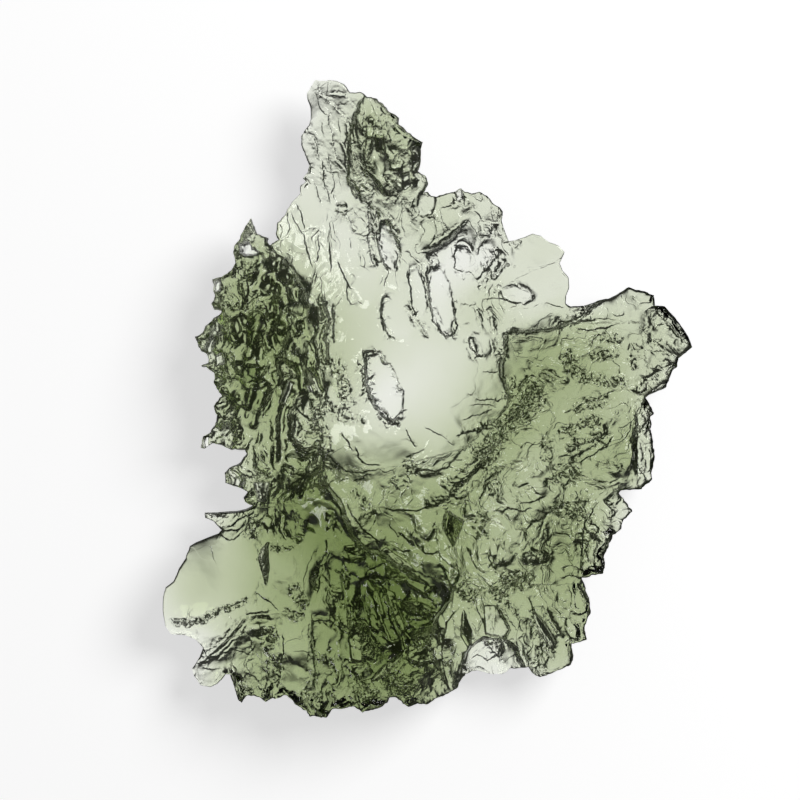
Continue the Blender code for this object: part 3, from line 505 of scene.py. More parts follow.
    groove(0.70, 3.0, 250, 318, 254, 312, 262, 308),
    groove(0.60, 2.6, 266, 300, 268, 316, 272, 326, 282, 330),
    ridge(0.70, 4.5, 270, 282, 280, 284, 286, 292, 290, 302, 300, 306),
    groove(0.60, 2.6, 262, 330, 264, 344, 268, 352, 264, 362),
    ridge(0.70, 4.5, 262, 312, 258, 330, 252, 348, 246, 362),
    groove(0.60, 2.6, 272, 344, 276, 352, 290, 352, 293, 342),
    groove(0.50, 2.4, 275, 360, 280, 372, 282, 380),
    groove(0.70, 3.0, 284, 364, 292, 372, 294, 380),
    ridge(0.80, 4.2, 300, 352, 301, 373, 304, 395),
    groove(0.80, 3.0, 305, 358, 308, 372, 312, 384),
    ridge(0.80, 4.5, 288, 378, 282, 398, 275, 416, 276, 440, 275, 472),
    ridge(0.70, 4.2, 270, 382, 262, 400, 256, 416, 252, 430),
    groove(0.60, 2.6, 278, 384, 268, 404, 262, 420),
    groove(0.80, 3.0, 206, 367, 222, 372, 214, 378),
    groove(0.60, 3.0, 214, 386, 224, 384, 240, 386),
    ridge(0.70, 4.2, 216, 404, 228, 398, 242, 396),
    groove(0.80, 3.6, 218, 414, 230, 420, 240, 412),
    ridge(0.70, 4.2, 226, 404, 228, 416, 236, 420),
    groove(0.60, 2.8, 214, 440, 226, 436, 240, 424),
    groove(0.50, 2.4, 222, 446, 236, 444, 246, 438),
    groove(0.60, 2.6, 292, 402, 300, 414, 310, 420, 314, 408),
    crumple(0.50, 8.0, 318, 402, 316, 420, 318, 440),
    groove(0.50, 2.6, 246, 470, 260, 476, 272, 478),
    groove(0.50, 2.4, 253, 440, 258, 456, 268, 466),
    crumple(0.50, 7.0, 250, 474, 262, 476, 272, 474),
    groove(0.60, 2.6, 268, 500, 272, 488, 274, 478),
    groove(0.60, 2.6, 252, 488, 258, 494, 262, 502),
    step(0.60, 2.4, 301, 300, 308, 303, 318, 303),
    groove(0.45, 2.6, 314, 324, 316, 334, 310, 344),
    # the left tab and its flakes
    groove(0.80, 3.6, 205, 516, 222, 513, 240, 510, 258, 507),
    groove(0.45, 2.4, 226, 528, 240, 520, 256, 512),
    groove(0.35, 2.4, 219, 527, 224, 531, 237, 530, 246, 522),
    groove(0.30, 2.2, 219, 534, 226, 539, 232, 541),
    groove(0.12, 2.0, 230, 541, 238, 537, 244, 530),
    groove(0.06, 2.0, 211, 545, 212, 556, 216, 564),
    crumple(0.50, 3.4, 168, 617, 178, 623, 190, 622, 205, 619, 222, 610, 240, 604, 254, 596),
    groove(0.45, 2.0, 167, 615, 174, 622, 188, 623, 203, 622, 212, 615, 223, 609, 234, 605, 248, 597),
    groove(0.22, 2.0, 170, 620, 174, 626, 184, 624, 187, 614, 192, 621),
    groove(0.06, 2.0, 170, 610, 178, 598, 181, 590),
    groove(0.55, 3.0, 244, 616, 234, 628, 224, 640, 210, 653, 193, 668),
    groove(0.45, 2.6, 248, 620, 238, 634, 228, 644, 212, 658),
    groove(0.35, 2.4, 236, 640, 228, 650, 218, 660),
    groove(0.25, 2.0, 203, 650, 205, 658, 200, 662),
    groove(0.20, 2.0, 202, 668, 212, 672, 222, 668),
    groove(0.18, 2.0, 196, 682, 204, 687, 216, 684),
    step(0.45, 2.4, 225, 662, 232, 672, 238, 686),
    # the lower left
    groove(0.60, 2.2, 269, 541, 262, 549, 259, 559, 262, 567, 266, 584),
    groove(0.50, 2.0, 266, 584, 269, 567, 268, 553, 269, 541),
    groove(0.50, 2.4, 256, 590, 262, 598, 272, 602, 278, 612),
    ridge(0.80, 5.0, 303, 511, 312, 522, 321, 532, 324, 543, 320, 563, 317, 579, 315, 591, 309, 609),
    groove(0.60, 2.6, 325, 534, 328, 546, 324, 562, 320, 580, 318, 596),
    groove(0.45, 2.4, 309, 616, 311, 635, 317, 654, 316, 672, 318, 690),
    groove(0.10, 2.0, 273, 560, 279, 558, 286, 563, 285, 570, 278, 573, 273, 567),
    crumple(0.30, 4.0, 268, 547, 282, 548, 301, 543),
    crumple(0.45, 6.0, 292, 582, 298, 596, 306, 610),
    crumple(0.45, 5.0, 282, 612, 296, 616, 306, 614),
    groove(0.50, 2.4, 246, 615, 256, 613, 270, 611),
    ridge(0.60, 4.2, 309, 616, 330, 615, 340, 620),
    groove(0.50, 2.6, 309, 620, 330, 619, 342, 626),
    step(0.60, 3.0, 248, 622, 256, 617, 268, 616, 280, 622),
    ridge(0.60, 4.2, 258, 640, 264, 630, 272, 623, 282, 624),
    crumple(0.55, 6.0, 268, 626, 272, 638, 266, 650),
    crumple(0.45, 7.0, 270, 655, 276, 668, 272, 682),
    step(0.50, 2.0, 315, 690, 316, 662, 312, 640, 311, 618),
    groove(0.35, 2.0, 283, 632, 284, 650, 280, 668, 278, 690),
    groove(0.35, 2.2, 250, 636, 252, 650, 246, 662, 256, 658),
    groove(0.35, 2.2, 245, 672, 256, 676, 264, 686),
    crumple(0.45, 8.0, 300, 690, 312, 696, 322, 702),
    crumple(0.45, 7.0, 238, 680, 244, 692, 254, 690),
    groove(0.60, 3.0, 268, 664, 269, 680, 262, 696),
    step(0.50, 2.6, 262, 514, 268, 530, 266, 541),
    crumple(0.40, 5.0, 246, 540, 256, 528, 252, 514),
    groove(0.60, 2.6, 276, 505, 284, 516, 282, 530, 290, 540),
    groove(0.60, 2.6, 292, 506, 300, 520, 296, 534, 306, 540),
    step(0.60, 2.4, 326, 510, 334, 508, 337, 520, 333, 532, 326, 530),
    # the deep folds at the bottom
    groove(0.90, 3.4, 352, 543, 364, 548, 356, 556, 342, 552),
    groove(0.80, 3.0, 366, 556, 370, 566, 382, 562, 398, 564, 410, 572, 421, 577),
    ridge(0.80, 4.5, 381, 549, 392, 554, 404, 564, 414, 574),
    groove(1.20, 4.0, 372, 572, 384, 574, 396, 574, 400, 570),
    ridge(0.90, 5.0, 366, 569, 380, 583, 394, 597, 407, 609, 416, 620),
    groove(0.90, 3.0, 381, 588, 388, 602, 392, 619, 400, 635),
    groove(0.80, 2.8, 371, 588, 376, 602, 378, 616),
    groove(0.80, 2.8, 362, 590, 366, 604, 370, 616),
    ridge(0.80, 4.5, 394, 591, 407, 592, 418, 601, 427, 609, 439, 611),
    groove(1.30, 4.4, 402, 598, 414, 604, 424, 612, 436, 613),
    groove(0.90, 3.2, 404, 616, 416, 616, 430, 614),
    ridge(0.80, 4.5, 404, 623, 410, 627, 427, 622, 434, 617),
    groove(1.50, 5.0, 410, 634, 420, 635, 428, 630, 432, 622),
    groove(1.60, 6.0, 353, 627, 364, 634, 374, 644, 382, 656),
    groove(1.00, 4.0, 358, 618, 370, 624, 378, 630),
    groove(0.90, 3.2, 350, 600, 352, 612, 350, 630),
    groove(0.80, 3.0, 336, 566, 344, 574, 346, 588),
    groove(0.70, 2.8, 328, 584, 334, 594, 344, 598),
    groove(0.80, 3.0, 340, 606, 350, 602, 360, 608),
    ridge(0.80, 4.5, 332, 616, 342, 606, 350, 592, 352, 578),
    groove(0.60, 2.6, 339, 618, 350, 633, 345, 640),
    groove(0.60, 2.4, 345, 656, 352, 660, 364, 662, 364, 650),
    step(0.90, 3.0, 411, 640, 399, 651, 381, 665, 372, 680),
    groove(0.80, 3.0, 404, 652, 394, 664, 384, 676),
    groove(0.45, 2.4, 409, 642, 418, 648, 428, 645, 432, 656, 440, 664),
    groove(0.60, 2.6, 408, 657, 416, 663, 428, 660),
    groove(0.60, 2.6, 439, 613, 428, 634, 431, 648),
    groove(0.60, 3.0, 424, 584, 428, 596, 438, 606),
    groove(0.50, 2.4, 440, 562, 446, 576, 452, 588),
    groove(0.50, 2.4, 430, 676, 440, 668, 444, 680, 450, 690),
    crumple(0.60, 8.0, 352, 686, 366, 692, 380, 686),
    crumple(0.60, 8.0, 392, 676, 404, 684, 416, 690),
    crumple(0.60, 8.0, 396, 664, 388, 676, 400, 690),
    groove(0.80, 3.0, 356, 668, 362, 680, 370, 690),
    # the furrowed lobe at the right of the folds
    groove(0.40, 2.4, 467, 546, 472, 558, 477, 570),
    groove(0.30, 2.2, 480, 470, 470, 484, 468, 500, 474, 512),
    groove(0.40, 2.4, 486, 480, 484, 492, 478, 500),
    crumple(0.40, 7.0, 484, 510, 480, 524, 484, 540),
    groove(0.55, 2.6, 513, 483, 520, 487, 529, 483),
    groove(0.45, 2.4, 512, 500, 520, 504, 536, 502, 546, 496),
    groove(0.45, 2.4, 500, 516, 508, 508, 522, 512, 532, 508),
    groove(0.50, 2.6, 506, 526, 500, 540, 504, 552, 498, 566),
    groove(0.45, 2.4, 514, 526, 526, 530, 532, 522, 542, 520),
    groove(0.40, 2.2, 524, 530, 520, 546, 512, 556),
    groove(0.80, 3.4, 524, 560, 532, 553, 542, 556, 540, 563),
    groove(0.45, 2.4, 490, 550, 489, 560, 494, 570),
    groove(0.50, 2.4, 498, 556, 494, 566, 496, 574),
    crumple(0.60, 7.0, 456, 582, 466, 592, 478, 599),
    crumple(0.80, 8.0, 490, 598, 500, 592, 508, 582, 516, 576),
    crumple(0.75, 7.0, 512, 578, 524, 580, 536, 580),
    groove(0.50, 2.6, 520, 572, 516, 584, 524, 594),
    crumple(0.35, 6.0, 490, 480, 494, 494, 504, 502),
    # the right body
    groove(0.20, 1.8, 515, 330, 532, 331, 549, 331, 562, 328, 578, 320),
    groove(0.35, 2.2, 575, 328, 590, 330, 607, 327, 622, 322),
    groove(0.15, 2.2, 596, 317, 612, 320, 624, 320),
    groove(1.10, 4.0, 563, 313, 564, 321, 573, 319, 582, 316, 593, 306, 604, 301),
    groove(0.20, 2.2, 573, 332, 575, 342, 582, 346),
    groove(0.40, 2.2, 528, 359, 536, 365, 546, 368),
    groove(0.60, 4.0, 539, 371, 551, 375, 560, 380, 568, 385),
    groove(0.35, 2.2, 520, 366, 530, 372, 546, 384, 556, 398),
    crumple(0.70, 7.0, 564, 350, 570, 362, 576, 374),
    crumple(0.40, 6.0, 574, 370, 582, 378, 588, 370),
    crumple(0.45, 4.5, 588, 344, 600, 338, 614, 338, 624, 344),
    crumple(0.55, 4.5, 590, 358, 604, 355, 620, 352),
    crumple(0.40, 4.0, 628, 356, 634, 362, 636, 370),
    crumple(0.50, 5.0, 585, 374, 596, 378, 608, 382, 630, 382),
    groove(0.40, 2.2, 596, 364, 602, 360, 612, 360, 620, 366, 618, 376),
    groove(0.45, 2.4, 562, 414, 576, 408, 590, 401, 606, 394, 622, 388),
    crumple(0.45, 6.0, 570, 412, 584, 404, 600, 402, 612, 396),
    crumple(0.50, 5.0, 556, 437, 567, 431, 582, 424, 594, 420, 604, 424),
    groove(0.50, 2.4, 586, 422, 598, 416, 604, 420, 600, 428),
    groove(1.30, 4.6, 566, 453, 577, 447, 590, 441, 602, 435, 610, 428),
    groove(0.70, 2.8, 560, 456, 572, 457, 582, 452, 592, 448),
    groove(0.50, 2.4, 577, 463, 595, 454, 609, 443, 612, 434),
    crumple(0.50, 5.0, 552, 432, 546, 444, 549, 456, 543, 466),
    groove(0.40, 2.4, 536, 440, 528, 450, 529, 460, 526, 472),
    groove(0.30, 2.2, 577, 464, 582, 476, 592, 478),
    groove(0.35, 2.2, 596, 462, 606, 464, 616, 470, 624, 466),
    crumple(0.75, 6.0, 552, 472, 564, 470, 574, 474, 582, 480),
    groove(0.60, 2.8, 546, 478, 556, 482, 566, 486, 572, 478),
    groove(0.50, 2.4, 582, 482, 594, 485, 612, 484, 624, 478),
    crumple(0.35, 5.0, 568, 496, 582, 500, 594, 494),
    groove(0.50, 3.0, 552, 506, 556, 514, 564, 518),
    crumple(0.50, 8.0, 554, 500, 562, 510, 576, 512, 588, 508),
    groove(0.30, 2.0, 550, 512, 545, 524, 540, 536, 532, 548),
    groove(0.25, 2.0, 610, 404, 614, 418, 610, 430),
    groove(0.20, 2.0, 623, 408, 627, 416, 630, 425),
    step(0.75, 3.0, 640, 398, 636, 412, 637, 426, 632, 440, 634, 456, 628, 472, 622, 482),
    groove(0.80, 3.4, 646, 398, 641, 410, 648, 420, 643, 430, 648, 440),
    groove(0.80, 3.0, 654, 404, 650, 414, 656, 424, 652, 436),
    groove(0.60, 3.0, 642, 440, 645, 456, 642, 470, 648, 482),
    groove(0.40, 2.4, 650, 448, 654, 460, 650, 474),
    # the right tab
    groove(1.30, 5.0, 654, 304, 658, 312, 667, 323, 675, 333, 683, 340, 692, 344),
    ridge(0.70, 2.4, 658, 304, 668, 316, 680, 331),
    groove(0.35, 2.4, 653, 325, 645, 332, 637, 341),
    groove(0.60, 3.0, 631, 343, 636, 348, 643, 350),
    groove(0.35, 2.2, 643, 350, 656, 351, 666, 352, 679, 359),
    groove(1.10, 4.4, 641, 397, 646, 384, 657, 375, 668, 369, 676, 363),
    groove(0.60, 3.0, 650, 394, 660, 388, 672, 378, 676, 368),
    groove(0.30, 2.2, 632, 296, 640, 304, 652, 302),
    groove(0.20, 2.2, 612, 312, 618, 316, 626, 315),
    crumple(0.25, 5.0, 644, 336, 656, 342, 668, 348),
    # the rim at the lower right
    groove(0.60, 2.8, 600, 499, 593, 511, 584, 523, 581, 545, 581, 566, 582, 577),
    groove(0.60, 2.6, 588, 526, 593, 524, 599, 528, 597, 533, 590, 532),
    groove(0.80, 3.0, 604, 500, 612, 508, 618, 514),
    groove(0.80, 3.4, 602, 540, 596, 550, 594, 562, 598, 572),
    groove(0.80, 3.0, 612, 534, 606, 546, 600, 556),
    groove(0.80, 3.4, 588, 540, 585, 550, 590, 562),
    groove(0.45, 2.4, 561, 566, 570, 565, 579, 567),
    groove(0.45, 2.4, 559, 577, 568, 575, 580, 577, 588, 575),
    groove(0.50, 2.6, 564, 586, 568, 584, 572, 592, 571, 602, 564, 606, 557, 600, 557, 590),
    groove(0.70, 3.0, 576, 582, 582, 592, 588, 604),
    groove(0.60, 3.0, 566, 616, 564, 628, 570, 638, 578, 640),
    groove(0.60, 2.6, 568, 612, 580, 614, 588, 610),
    # the legs and the thin flake
    groove(0.45, 2.4, 463, 604, 455, 612, 446, 623, 442, 647, 443, 668, 449, 690),
    groove(0.30, 2.2, 447, 660, 452, 672, 456, 684),
    groove(0.50, 2.6, 498, 603, 507, 618, 519, 632),
    groove(0.40, 2.4, 495, 606, 492, 620, 494, 636),
    groove(0.60, 2.8, 508, 600, 514, 612, 522, 620, 524, 632),
    groove(0.80, 3.6, 528, 614, 538, 634, 547, 649, 556, 664),
    groove(0.80, 3.0, 541, 602, 550, 623, 562, 640),
    groove(0.60, 2.8, 524, 632, 519, 640, 522, 655, 530, 668),
    groove(0.60, 2.6, 533, 612, 531, 602, 528, 596),
    groove(0.40, 2.4, 536, 622, 548, 640, 558, 652),
    groove(0.55, 3.0, 481, 638, 488, 646, 494, 653, 502, 658),
    groove(0.25, 2.2, 470, 660, 478, 656, 488, 662, 498, 656, 506, 666),
    groove(0.15, 2.0, 462, 668, 470, 672, 480, 668, 492, 676),
    crumple(0.50, 5.0, 486, 640, 496, 644, 508, 640),
    crumple(0.45, 6.0, 530, 660, 536, 668, 546, 670),
)

FACETS = (
    facet(-1.6, 8, 300, 239, 244, 249, 242, 259, 252, 256, 255, 241, 254),
    facet(0.2, 66, 60, 250, 243, 259, 245, 260, 249, 253, 248),
    facet(-1.6, 10, 260, 214, 282, 221, 280, 220, 290, 214, 292),
    facet(0.2, 5, 0, 231, 282, 239, 281, 240, 289, 234, 292),
    facet(0.0, 8, 20, 243, 282, 250, 281, 251, 300, 245, 302),
    facet(0.3, 55, 250, 214, 315, 224, 313, 228, 322, 226, 332, 216, 331),
    facet(-1.4, 6, 270, 215, 356, 223, 353, 225, 363, 216, 366),
    facet(0.8, 20, 210, 243, 368, 258, 367, 261, 379, 246, 384),
    facet(-2.0, 12, 20, 289, 380, 293, 384, 285, 404, 280, 402),
    facet(0.4, 6, 90, 304, 308, 318, 306, 318, 330, 312, 345, 305, 330),
    facet(-1.8, 30, 30, 306, 386, 310, 385, 313, 391, 309, 392),
    facet(-1.4, 6, 200, 254, 483, 269, 482, 266, 500, 258, 501),
    facet(-1.2, 20, 240, 203, 437, 208, 435, 208, 446, 204, 447),
    facet(-1.0, 62, 275, 269, 541, 262, 549, 259, 559, 262, 569, 266, 584, 269, 568, 267, 554),
    facet(1.2, 60, 250, 446, 511, 463, 521, 457, 537, 453, 546, 443, 529),
    facet(-1.6, 14, 60, 381, 551, 386, 547, 409, 563, 419, 576, 409, 571),
    facet(-1.0, 20, 330, 372, 679, 380, 666, 398, 652, 411, 641, 400, 656, 386, 672),
    facet(-0.6, 48, 20, 345, 545, 360, 543, 366, 556, 352, 562),
    facet(-0.4, 50, 200, 384, 556, 400, 566, 415, 577, 398, 580, 387, 572),
    facet(-0.5, 47, 350, 400, 599, 420, 600, 438, 609, 425, 614, 408, 611),
    facet(-0.3, 50, 60, 368, 612, 380, 610, 392, 638, 386, 654, 373, 640),
    facet(-0.4, 44, 150, 410, 622, 430, 626, 428, 640, 414, 645),
    facet(-0.3, 48, 100, 329, 566, 341, 572, 344, 592, 333, 590),
    facet(-0.2, 44, 80, 366, 574, 379, 590, 385, 613, 377, 617, 366, 598),
    facet(-0.3, 42, 30, 387, 638, 402, 634, 405, 648, 393, 661, 384, 652),
    facet(-0.3, 45, 300, 352, 618, 366, 626, 373, 646, 360, 651, 350, 636),
    facet(-0.2, 40, 210, 404, 566, 420, 572, 433, 584, 424, 592, 408, 582),
    facet(-0.2, 42, 100, 335, 600, 347, 602, 349, 626, 338, 620),
    facet(-0.2, 44, 170, 405, 615, 420, 617, 433, 615, 431, 623, 414, 626),
    facet(-0.2, 40, 340, 352, 664, 368, 660, 374, 674, 358, 680),
    facet(-1.0, 12, 300, 384, 585, 394, 590, 404, 620, 409, 636, 398, 622),
    facet(-1.4, 6, 150, 408, 642, 428, 644, 432, 660, 420, 663, 407, 656),
    facet(-0.8, 10, 180, 349, 634, 362, 642, 363, 660, 352, 658),
    facet(0.4, 55, 70, 463, 608, 473, 629, 469, 648, 461, 636),
    facet(-0.4, 10, 250, 484, 606, 497, 606, 510, 630, 504, 639, 486, 634),
    facet(-0.8, 12, 240, 532, 611, 544, 623, 556, 642, 552, 650, 540, 634),
    facet(0.0, 20, 80, 573, 580, 583, 580, 588, 600, 586, 610, 575, 606),
    facet(-0.4, 10, 90, 411, 146, 420, 143, 420, 160, 413, 168),
    facet(-0.6, 10, 120, 402, 174, 409, 172, 411, 184, 404, 189),
    facet(0.6, 20, 60, 367, 125, 374, 126, 373, 139, 367, 138),
    facet(0.8, 25, 120, 375, 135, 384, 137, 385, 152, 377, 150),
    facet(-0.8, 8, 0, 456, 191, 462, 190, 464, 198, 457, 200),
    facet(-0.3, 8, 90, 384, 160, 390, 160, 391, 171, 385, 172),
    facet(0.3, 50, 60, 235, 676, 244, 676, 248, 690, 240, 699),
    facet(-0.3, 6, 90, 327, 511, 333, 510, 334, 522, 328, 529),
)

GRAINS = (
    # the dark lobe at the left
    Grain((245, 205, 272, 246, 290, 262, 305, 290, 330, 303, 326, 345, 322, 384, 318, 400, 320, 450,
           328, 480, 300, 505, 250, 510, 180, 500, 180, 250),
          across=20, along=54, lean=8, swell=0.4, crest=1.3, step=0.15, shard=0.1,
          line=0.1, fold=0.15, chip=0.1, fine=0.03, bold=2.1, swirl=9, border=12),
    # the spire, its green side and its pale side
    Grain((368, 96, 420, 110, 440, 190, 420, 200, 380, 215, 355, 192, 350, 150, 352, 126, 360, 110),
          across=15, along=50, lean=-20, crest=0.2, step=0.15, shard=0.25,
          line=0.2, fold=0.15, chip=0.08, fine=0.03, bold=1.5, swirl=5, border=7),
    Grain((300, 70, 352, 88, 348, 140, 356, 200, 330, 225, 270, 245, 290, 150),
          across=16, along=60, lean=-6, swell=0.05, crest=0.01, step=0.01, line=0.18, bold=1.2, swirl=6,
          border=8),
    # the shelf, the fan and the window
    Grain((275, 235, 330, 215, 400, 195, 520, 180, 520, 240, 505, 330, 340, 302, 305, 290),
          across=13, along=50, lean=-8, crest=0.05, step=0.05, line=0.4, fine=0.03, bold=1.3, swirl=8),
    Grain((505, 235, 560, 225, 580, 300, 560, 325, 505, 330),
          across=26, along=60, lean=60, swell=0.15, crest=0.03, line=0.12, swirl=6, border=8),
    Grain((340, 302, 505, 330, 515, 399, 463, 449, 373, 471, 327, 454, 321, 400),
          across=45, along=60, lean=-20, swell=0.12, line=0.05, swirl=8, border=8),
    # the right body
    Grain((511, 330, 566, 326, 640, 322, 660, 400, 660, 490, 625, 500, 560, 470, 540, 380),
          across=16, along=40, lean=58, crest=0.08, step=0.08, line=0.4, chip=0.1, fine=0.15, swirl=12,
          border=14),
    Grain((491, 464, 560, 470, 640, 490, 610, 590, 537, 590, 455, 590, 462, 500),
          across=13, along=24, lean=-30, crest=0.12, step=0.12, line=0.45, chip=0.15, fine=0.2, swirl=12,
          border=12),
    Grain((542, 380, 560, 420, 500, 470, 455, 505, 373, 476, 463, 449, 515, 399),
          across=10, along=40, lean=50, crest=0.15, step=0.12, line=0.5, chip=0.2, fine=0.3, swirl=8),
    # under the window
    Grain((341, 471, 405, 466, 482, 464, 430, 508, 353, 508),
          across=16, along=30, lean=30, crest=0.06, step=0.05, line=0.35, fine=0.1, border=8),
    Grain((330, 500, 353, 508, 445, 500, 455, 560, 440, 580, 360, 560, 340, 530),
          across=18, along=34, lean=-35, crest=0.12, step=0.1, shard=0.15, line=0.3, chip=0.06, fine=0.05),
    # the deep folds and the foot
    Grain((330, 560, 360, 555, 440, 575, 445, 640, 400, 660, 340, 660, 322, 600),
          across=24, along=60, lean=-38, crest=0.15, step=0.1, shard=0.35,
          line=0.06, fine=0.02, bold=1.7, swirl=7, border=14),
    Grain((320, 650, 445, 640, 455, 700, 380, 715, 300, 725, 230, 710, 235, 690),
          across=20, along=36, lean=20, crest=0.25, step=0.1, shard=0.45,
          line=0.15, fold=0.08, chip=0.06, fine=0.03, bold=1.8, swirl=8, border=16),
    # the lower left
    Grain((250, 505, 330, 500, 335, 620, 262, 612, 256, 590, 264, 566, 262, 545),
          across=24, along=50, lean=-5, swell=0.15, crest=0.06, step=0.06, line=0.2, chip=0.05,
          fine=0.05, bold=1.6, swirl=9),
    Grain((262, 615, 330, 618, 318, 700, 262, 690),
          across=30, along=50, lean=10, crest=0.05, step=0.04, line=0.2, fine=0.05, border=8),
    Grain((232, 628, 262, 616, 262, 700, 225, 690),
          across=16, along=30, lean=25, crest=0.15, step=0.1, line=0.25, chip=0.15, fine=0.1, bold=1.4,
          swirl=6, border=6),
    # the left tab, its flakes and its spike
    Grain((150, 530, 240, 520, 262, 548, 260, 575, 252, 600, 200, 625, 150, 620),
          across=40, along=50, lean=-30, swell=0.05, line=0.04, swirl=6, border=6),
    Grain((150, 625, 245, 600, 230, 690, 185, 695, 160, 650),
          across=16, along=30, lean=60, crest=0.04, step=0.03, line=0.15, fine=0.05, swirl=6, border=8),
    Grain((195, 505, 250, 505, 250, 530, 200, 530),
          across=8, along=30, lean=80, crest=0.05, step=0.03, line=0.2, swirl=4, border=6),
    # the right tab and the right rim
    Grain((566, 300, 640, 280, 700, 340, 670, 390, 650, 395, 640, 322, 580, 322),
          across=22, along=50, lean=-40, crest=0.05, step=0.05, line=0.25, fine=0.05, border=8),
    Grain((627, 440, 640, 395, 665, 400, 665, 490, 627, 490),
          across=8, along=18, lean=0, crest=0.2, step=0.12, shard=0.12, line=0.5, chip=0.4, fine=0.4,
          swirl=6, border=6),
    # the legs and the thin flake
    Grain((455, 590, 600, 575, 600, 640, 575, 670, 535, 680, 520, 640, 462, 640),
          across=12, along=40, lean=-28, crest=0.15, step=0.12, line=0.45, chip=0.2, fine=0.2),
    Grain((455, 640, 520, 640, 535, 685, 455, 690),
          across=14, along=22, lean=-20, crest=0.05, step=0.05, line=0.25, fine=0.05, swirl=6, border=8),
)


def smooth_step(share: Array) -> Array:
    """Ease a share from 0 to 1, flat at both ends."""
    share = np.clip(share, 0.0, 1.0)
    return share * share * (3 - 2 * share)


def both_ends(share: Array, fade: float) -> Array:
    """Fade a route out towards both of its ends, by the share of its length that lies behind."""
    return smooth_step(share / fade) * smooth_step((1 - share) / fade)


def cell_order(seed: int) -> tuple[Array, np.random.Generator]:
    """Give a shuffled row of 256 cell numbers and the generator that goes on from it."""
    generator = np.random.default_rng(seed)
    return generator.permutation(256), generator


def gradient_noise(x: Array, y: Array, seed: int) -> Array:
    """Give smooth noise of one size, from about -1 to 1.

    Args:
        x: Places across, in noise cells.
        y: Places down, in noise cells.
        seed: The pattern's own number.

    Returns:
        One value for each place.
    """
    order, generator = cell_order(seed)
    angle = generator.uniform(0, 2 * math.pi, 256)
    cosine = np.cos(angle)
    sine = np.sin(angle)
    column = np.floor(x).astype(int)
    row = np.floor(y).astype(int)
    from_left = x - column
    from_top = y - row

    def corner(right: int, down: int) -> Array:
        """Give the slope of one corner of the cell, carried to the place."""
        cell = order[(order[(column + right) & 255] + row + down) & 255]
        return cosine[cell] * (from_left - right) + sine[cell] * (from_top - down)

    ease_x = from_left ** 3 * (from_left * (from_left * 6 - 15) + 10)
    ease_y = from_top ** 3 * (from_top * (from_top * 6 - 15) + 10)
    top = corner(0, 0) + (corner(1, 0) - corner(0, 0)) * ease_x
    bottom = corner(0, 1) + (corner(1, 1) - corner(0, 1)) * ease_x
    return (top + (bottom - top) * ease_y) * 1.5


def finer_noise(x: Array, y: Array, seed: int, layers: int, fade: float) -> Iterator[tuple[Array, float]]:
    """Give ever finer and fainter layers of noise, each with its strength."""
    strength = 1.0
    for layer in range(layers):
        yield gradient_noise(x, y, seed + 13 * layer), strength
        strength *= fade
        x = x * FINER + NOISE_SHIFT[0]
        y = y * FINER + NOISE_SHIFT[1]


def layered_noise(x: Array, y: Array, seed: int, layers: int, fade: float = 0.5) -> Array:
    """Give noise with finer and fainter layers laid over the first one."""
    total = np.zeros_like(x)
    whole = 0.0
    for noise, strength in finer_noise(x, y, seed, layers, fade):
        total += strength * noise
        whole += strength
    return total / whole


def crests(x: Array, y: Array, seed: int, layers: int, fade: float = 0.5) -> Array:
    """Give rounded winding crests with steep hollows between them, up to about 1."""
    total = np.zeros_like(x)
    whole = 0.0
    weight = 1.0
    for noise, strength in finer_noise(x, y, seed, layers, fade):
        crest = 1.15 - 1.6 * np.sqrt(noise ** 2 + 0.01)
        total += strength * crest * weight
        weight = np.clip(crest * 1.4, 0.25, 1)
        whole += strength
    return total / whole


def terraces(height: Array, rise: float, share: float) -> Array:
    """Turn a smooth height into flats, each rise taking a share of the way up."""
    level = height / rise
    floor = np.floor(level)
    return (floor + smooth_step((level - floor - 0.5) / share + 0.5)) * rise


def chips(x: Array, y: Array, seed: int) -> Array:
    """Give flat chips, each tilted its own way, with sharp borders, from about -1 to 1."""
    order, generator = cell_order(seed)
    centre_x = generator.uniform(0.1, 0.9, 256)
    centre_y = generator.uniform(0.1, 0.9, 256)
    fall_x = generator.uniform(-1, 1, 256)
    fall_y = generator.uniform(-1, 1, 256)
    column = np.floor(x).astype(int)
    row = np.floor(y).astype(int)
    nearest = np.full(x.shape, np.inf)
    plane = np.zeros(x.shape)
    for right in (-1, 0, 1):
        for down in (-1, 0, 1):
            cell = order[(order[(column + right) & 255] + row + down) & 255]
            off_x = x - column - right - centre_x[cell]
            off_y = y - row - down - centre_y[cell]
            distance = off_x ** 2 + off_y ** 2
            closer = distance < nearest
            nearest = np.where(closer, distance, nearest)
            plane = np.where(closer, off_x * fall_x[cell] + off_y * fall_y[cell], plane)
    return plane * 1.6


def turned(x: Array, y: Array, middle: tuple[float, float], lean: float) -> tuple[Array, Array]:
    """Measure places across and along a direction that leans clockwise from upright."""
    angle = math.radians(lean)
    off_x = x - middle[0]
    off_y = y - middle[1]
    across = off_x * math.cos(angle) + off_y * math.sin(angle)
    along = off_y * math.cos(angle) - off_x * math.sin(angle)
    return across, along


def points_of(route: tuple[float, ...]) -> Array:
    """Pair up a route's numbers as points."""
    return np.array(route, float).reshape(-1, 2)


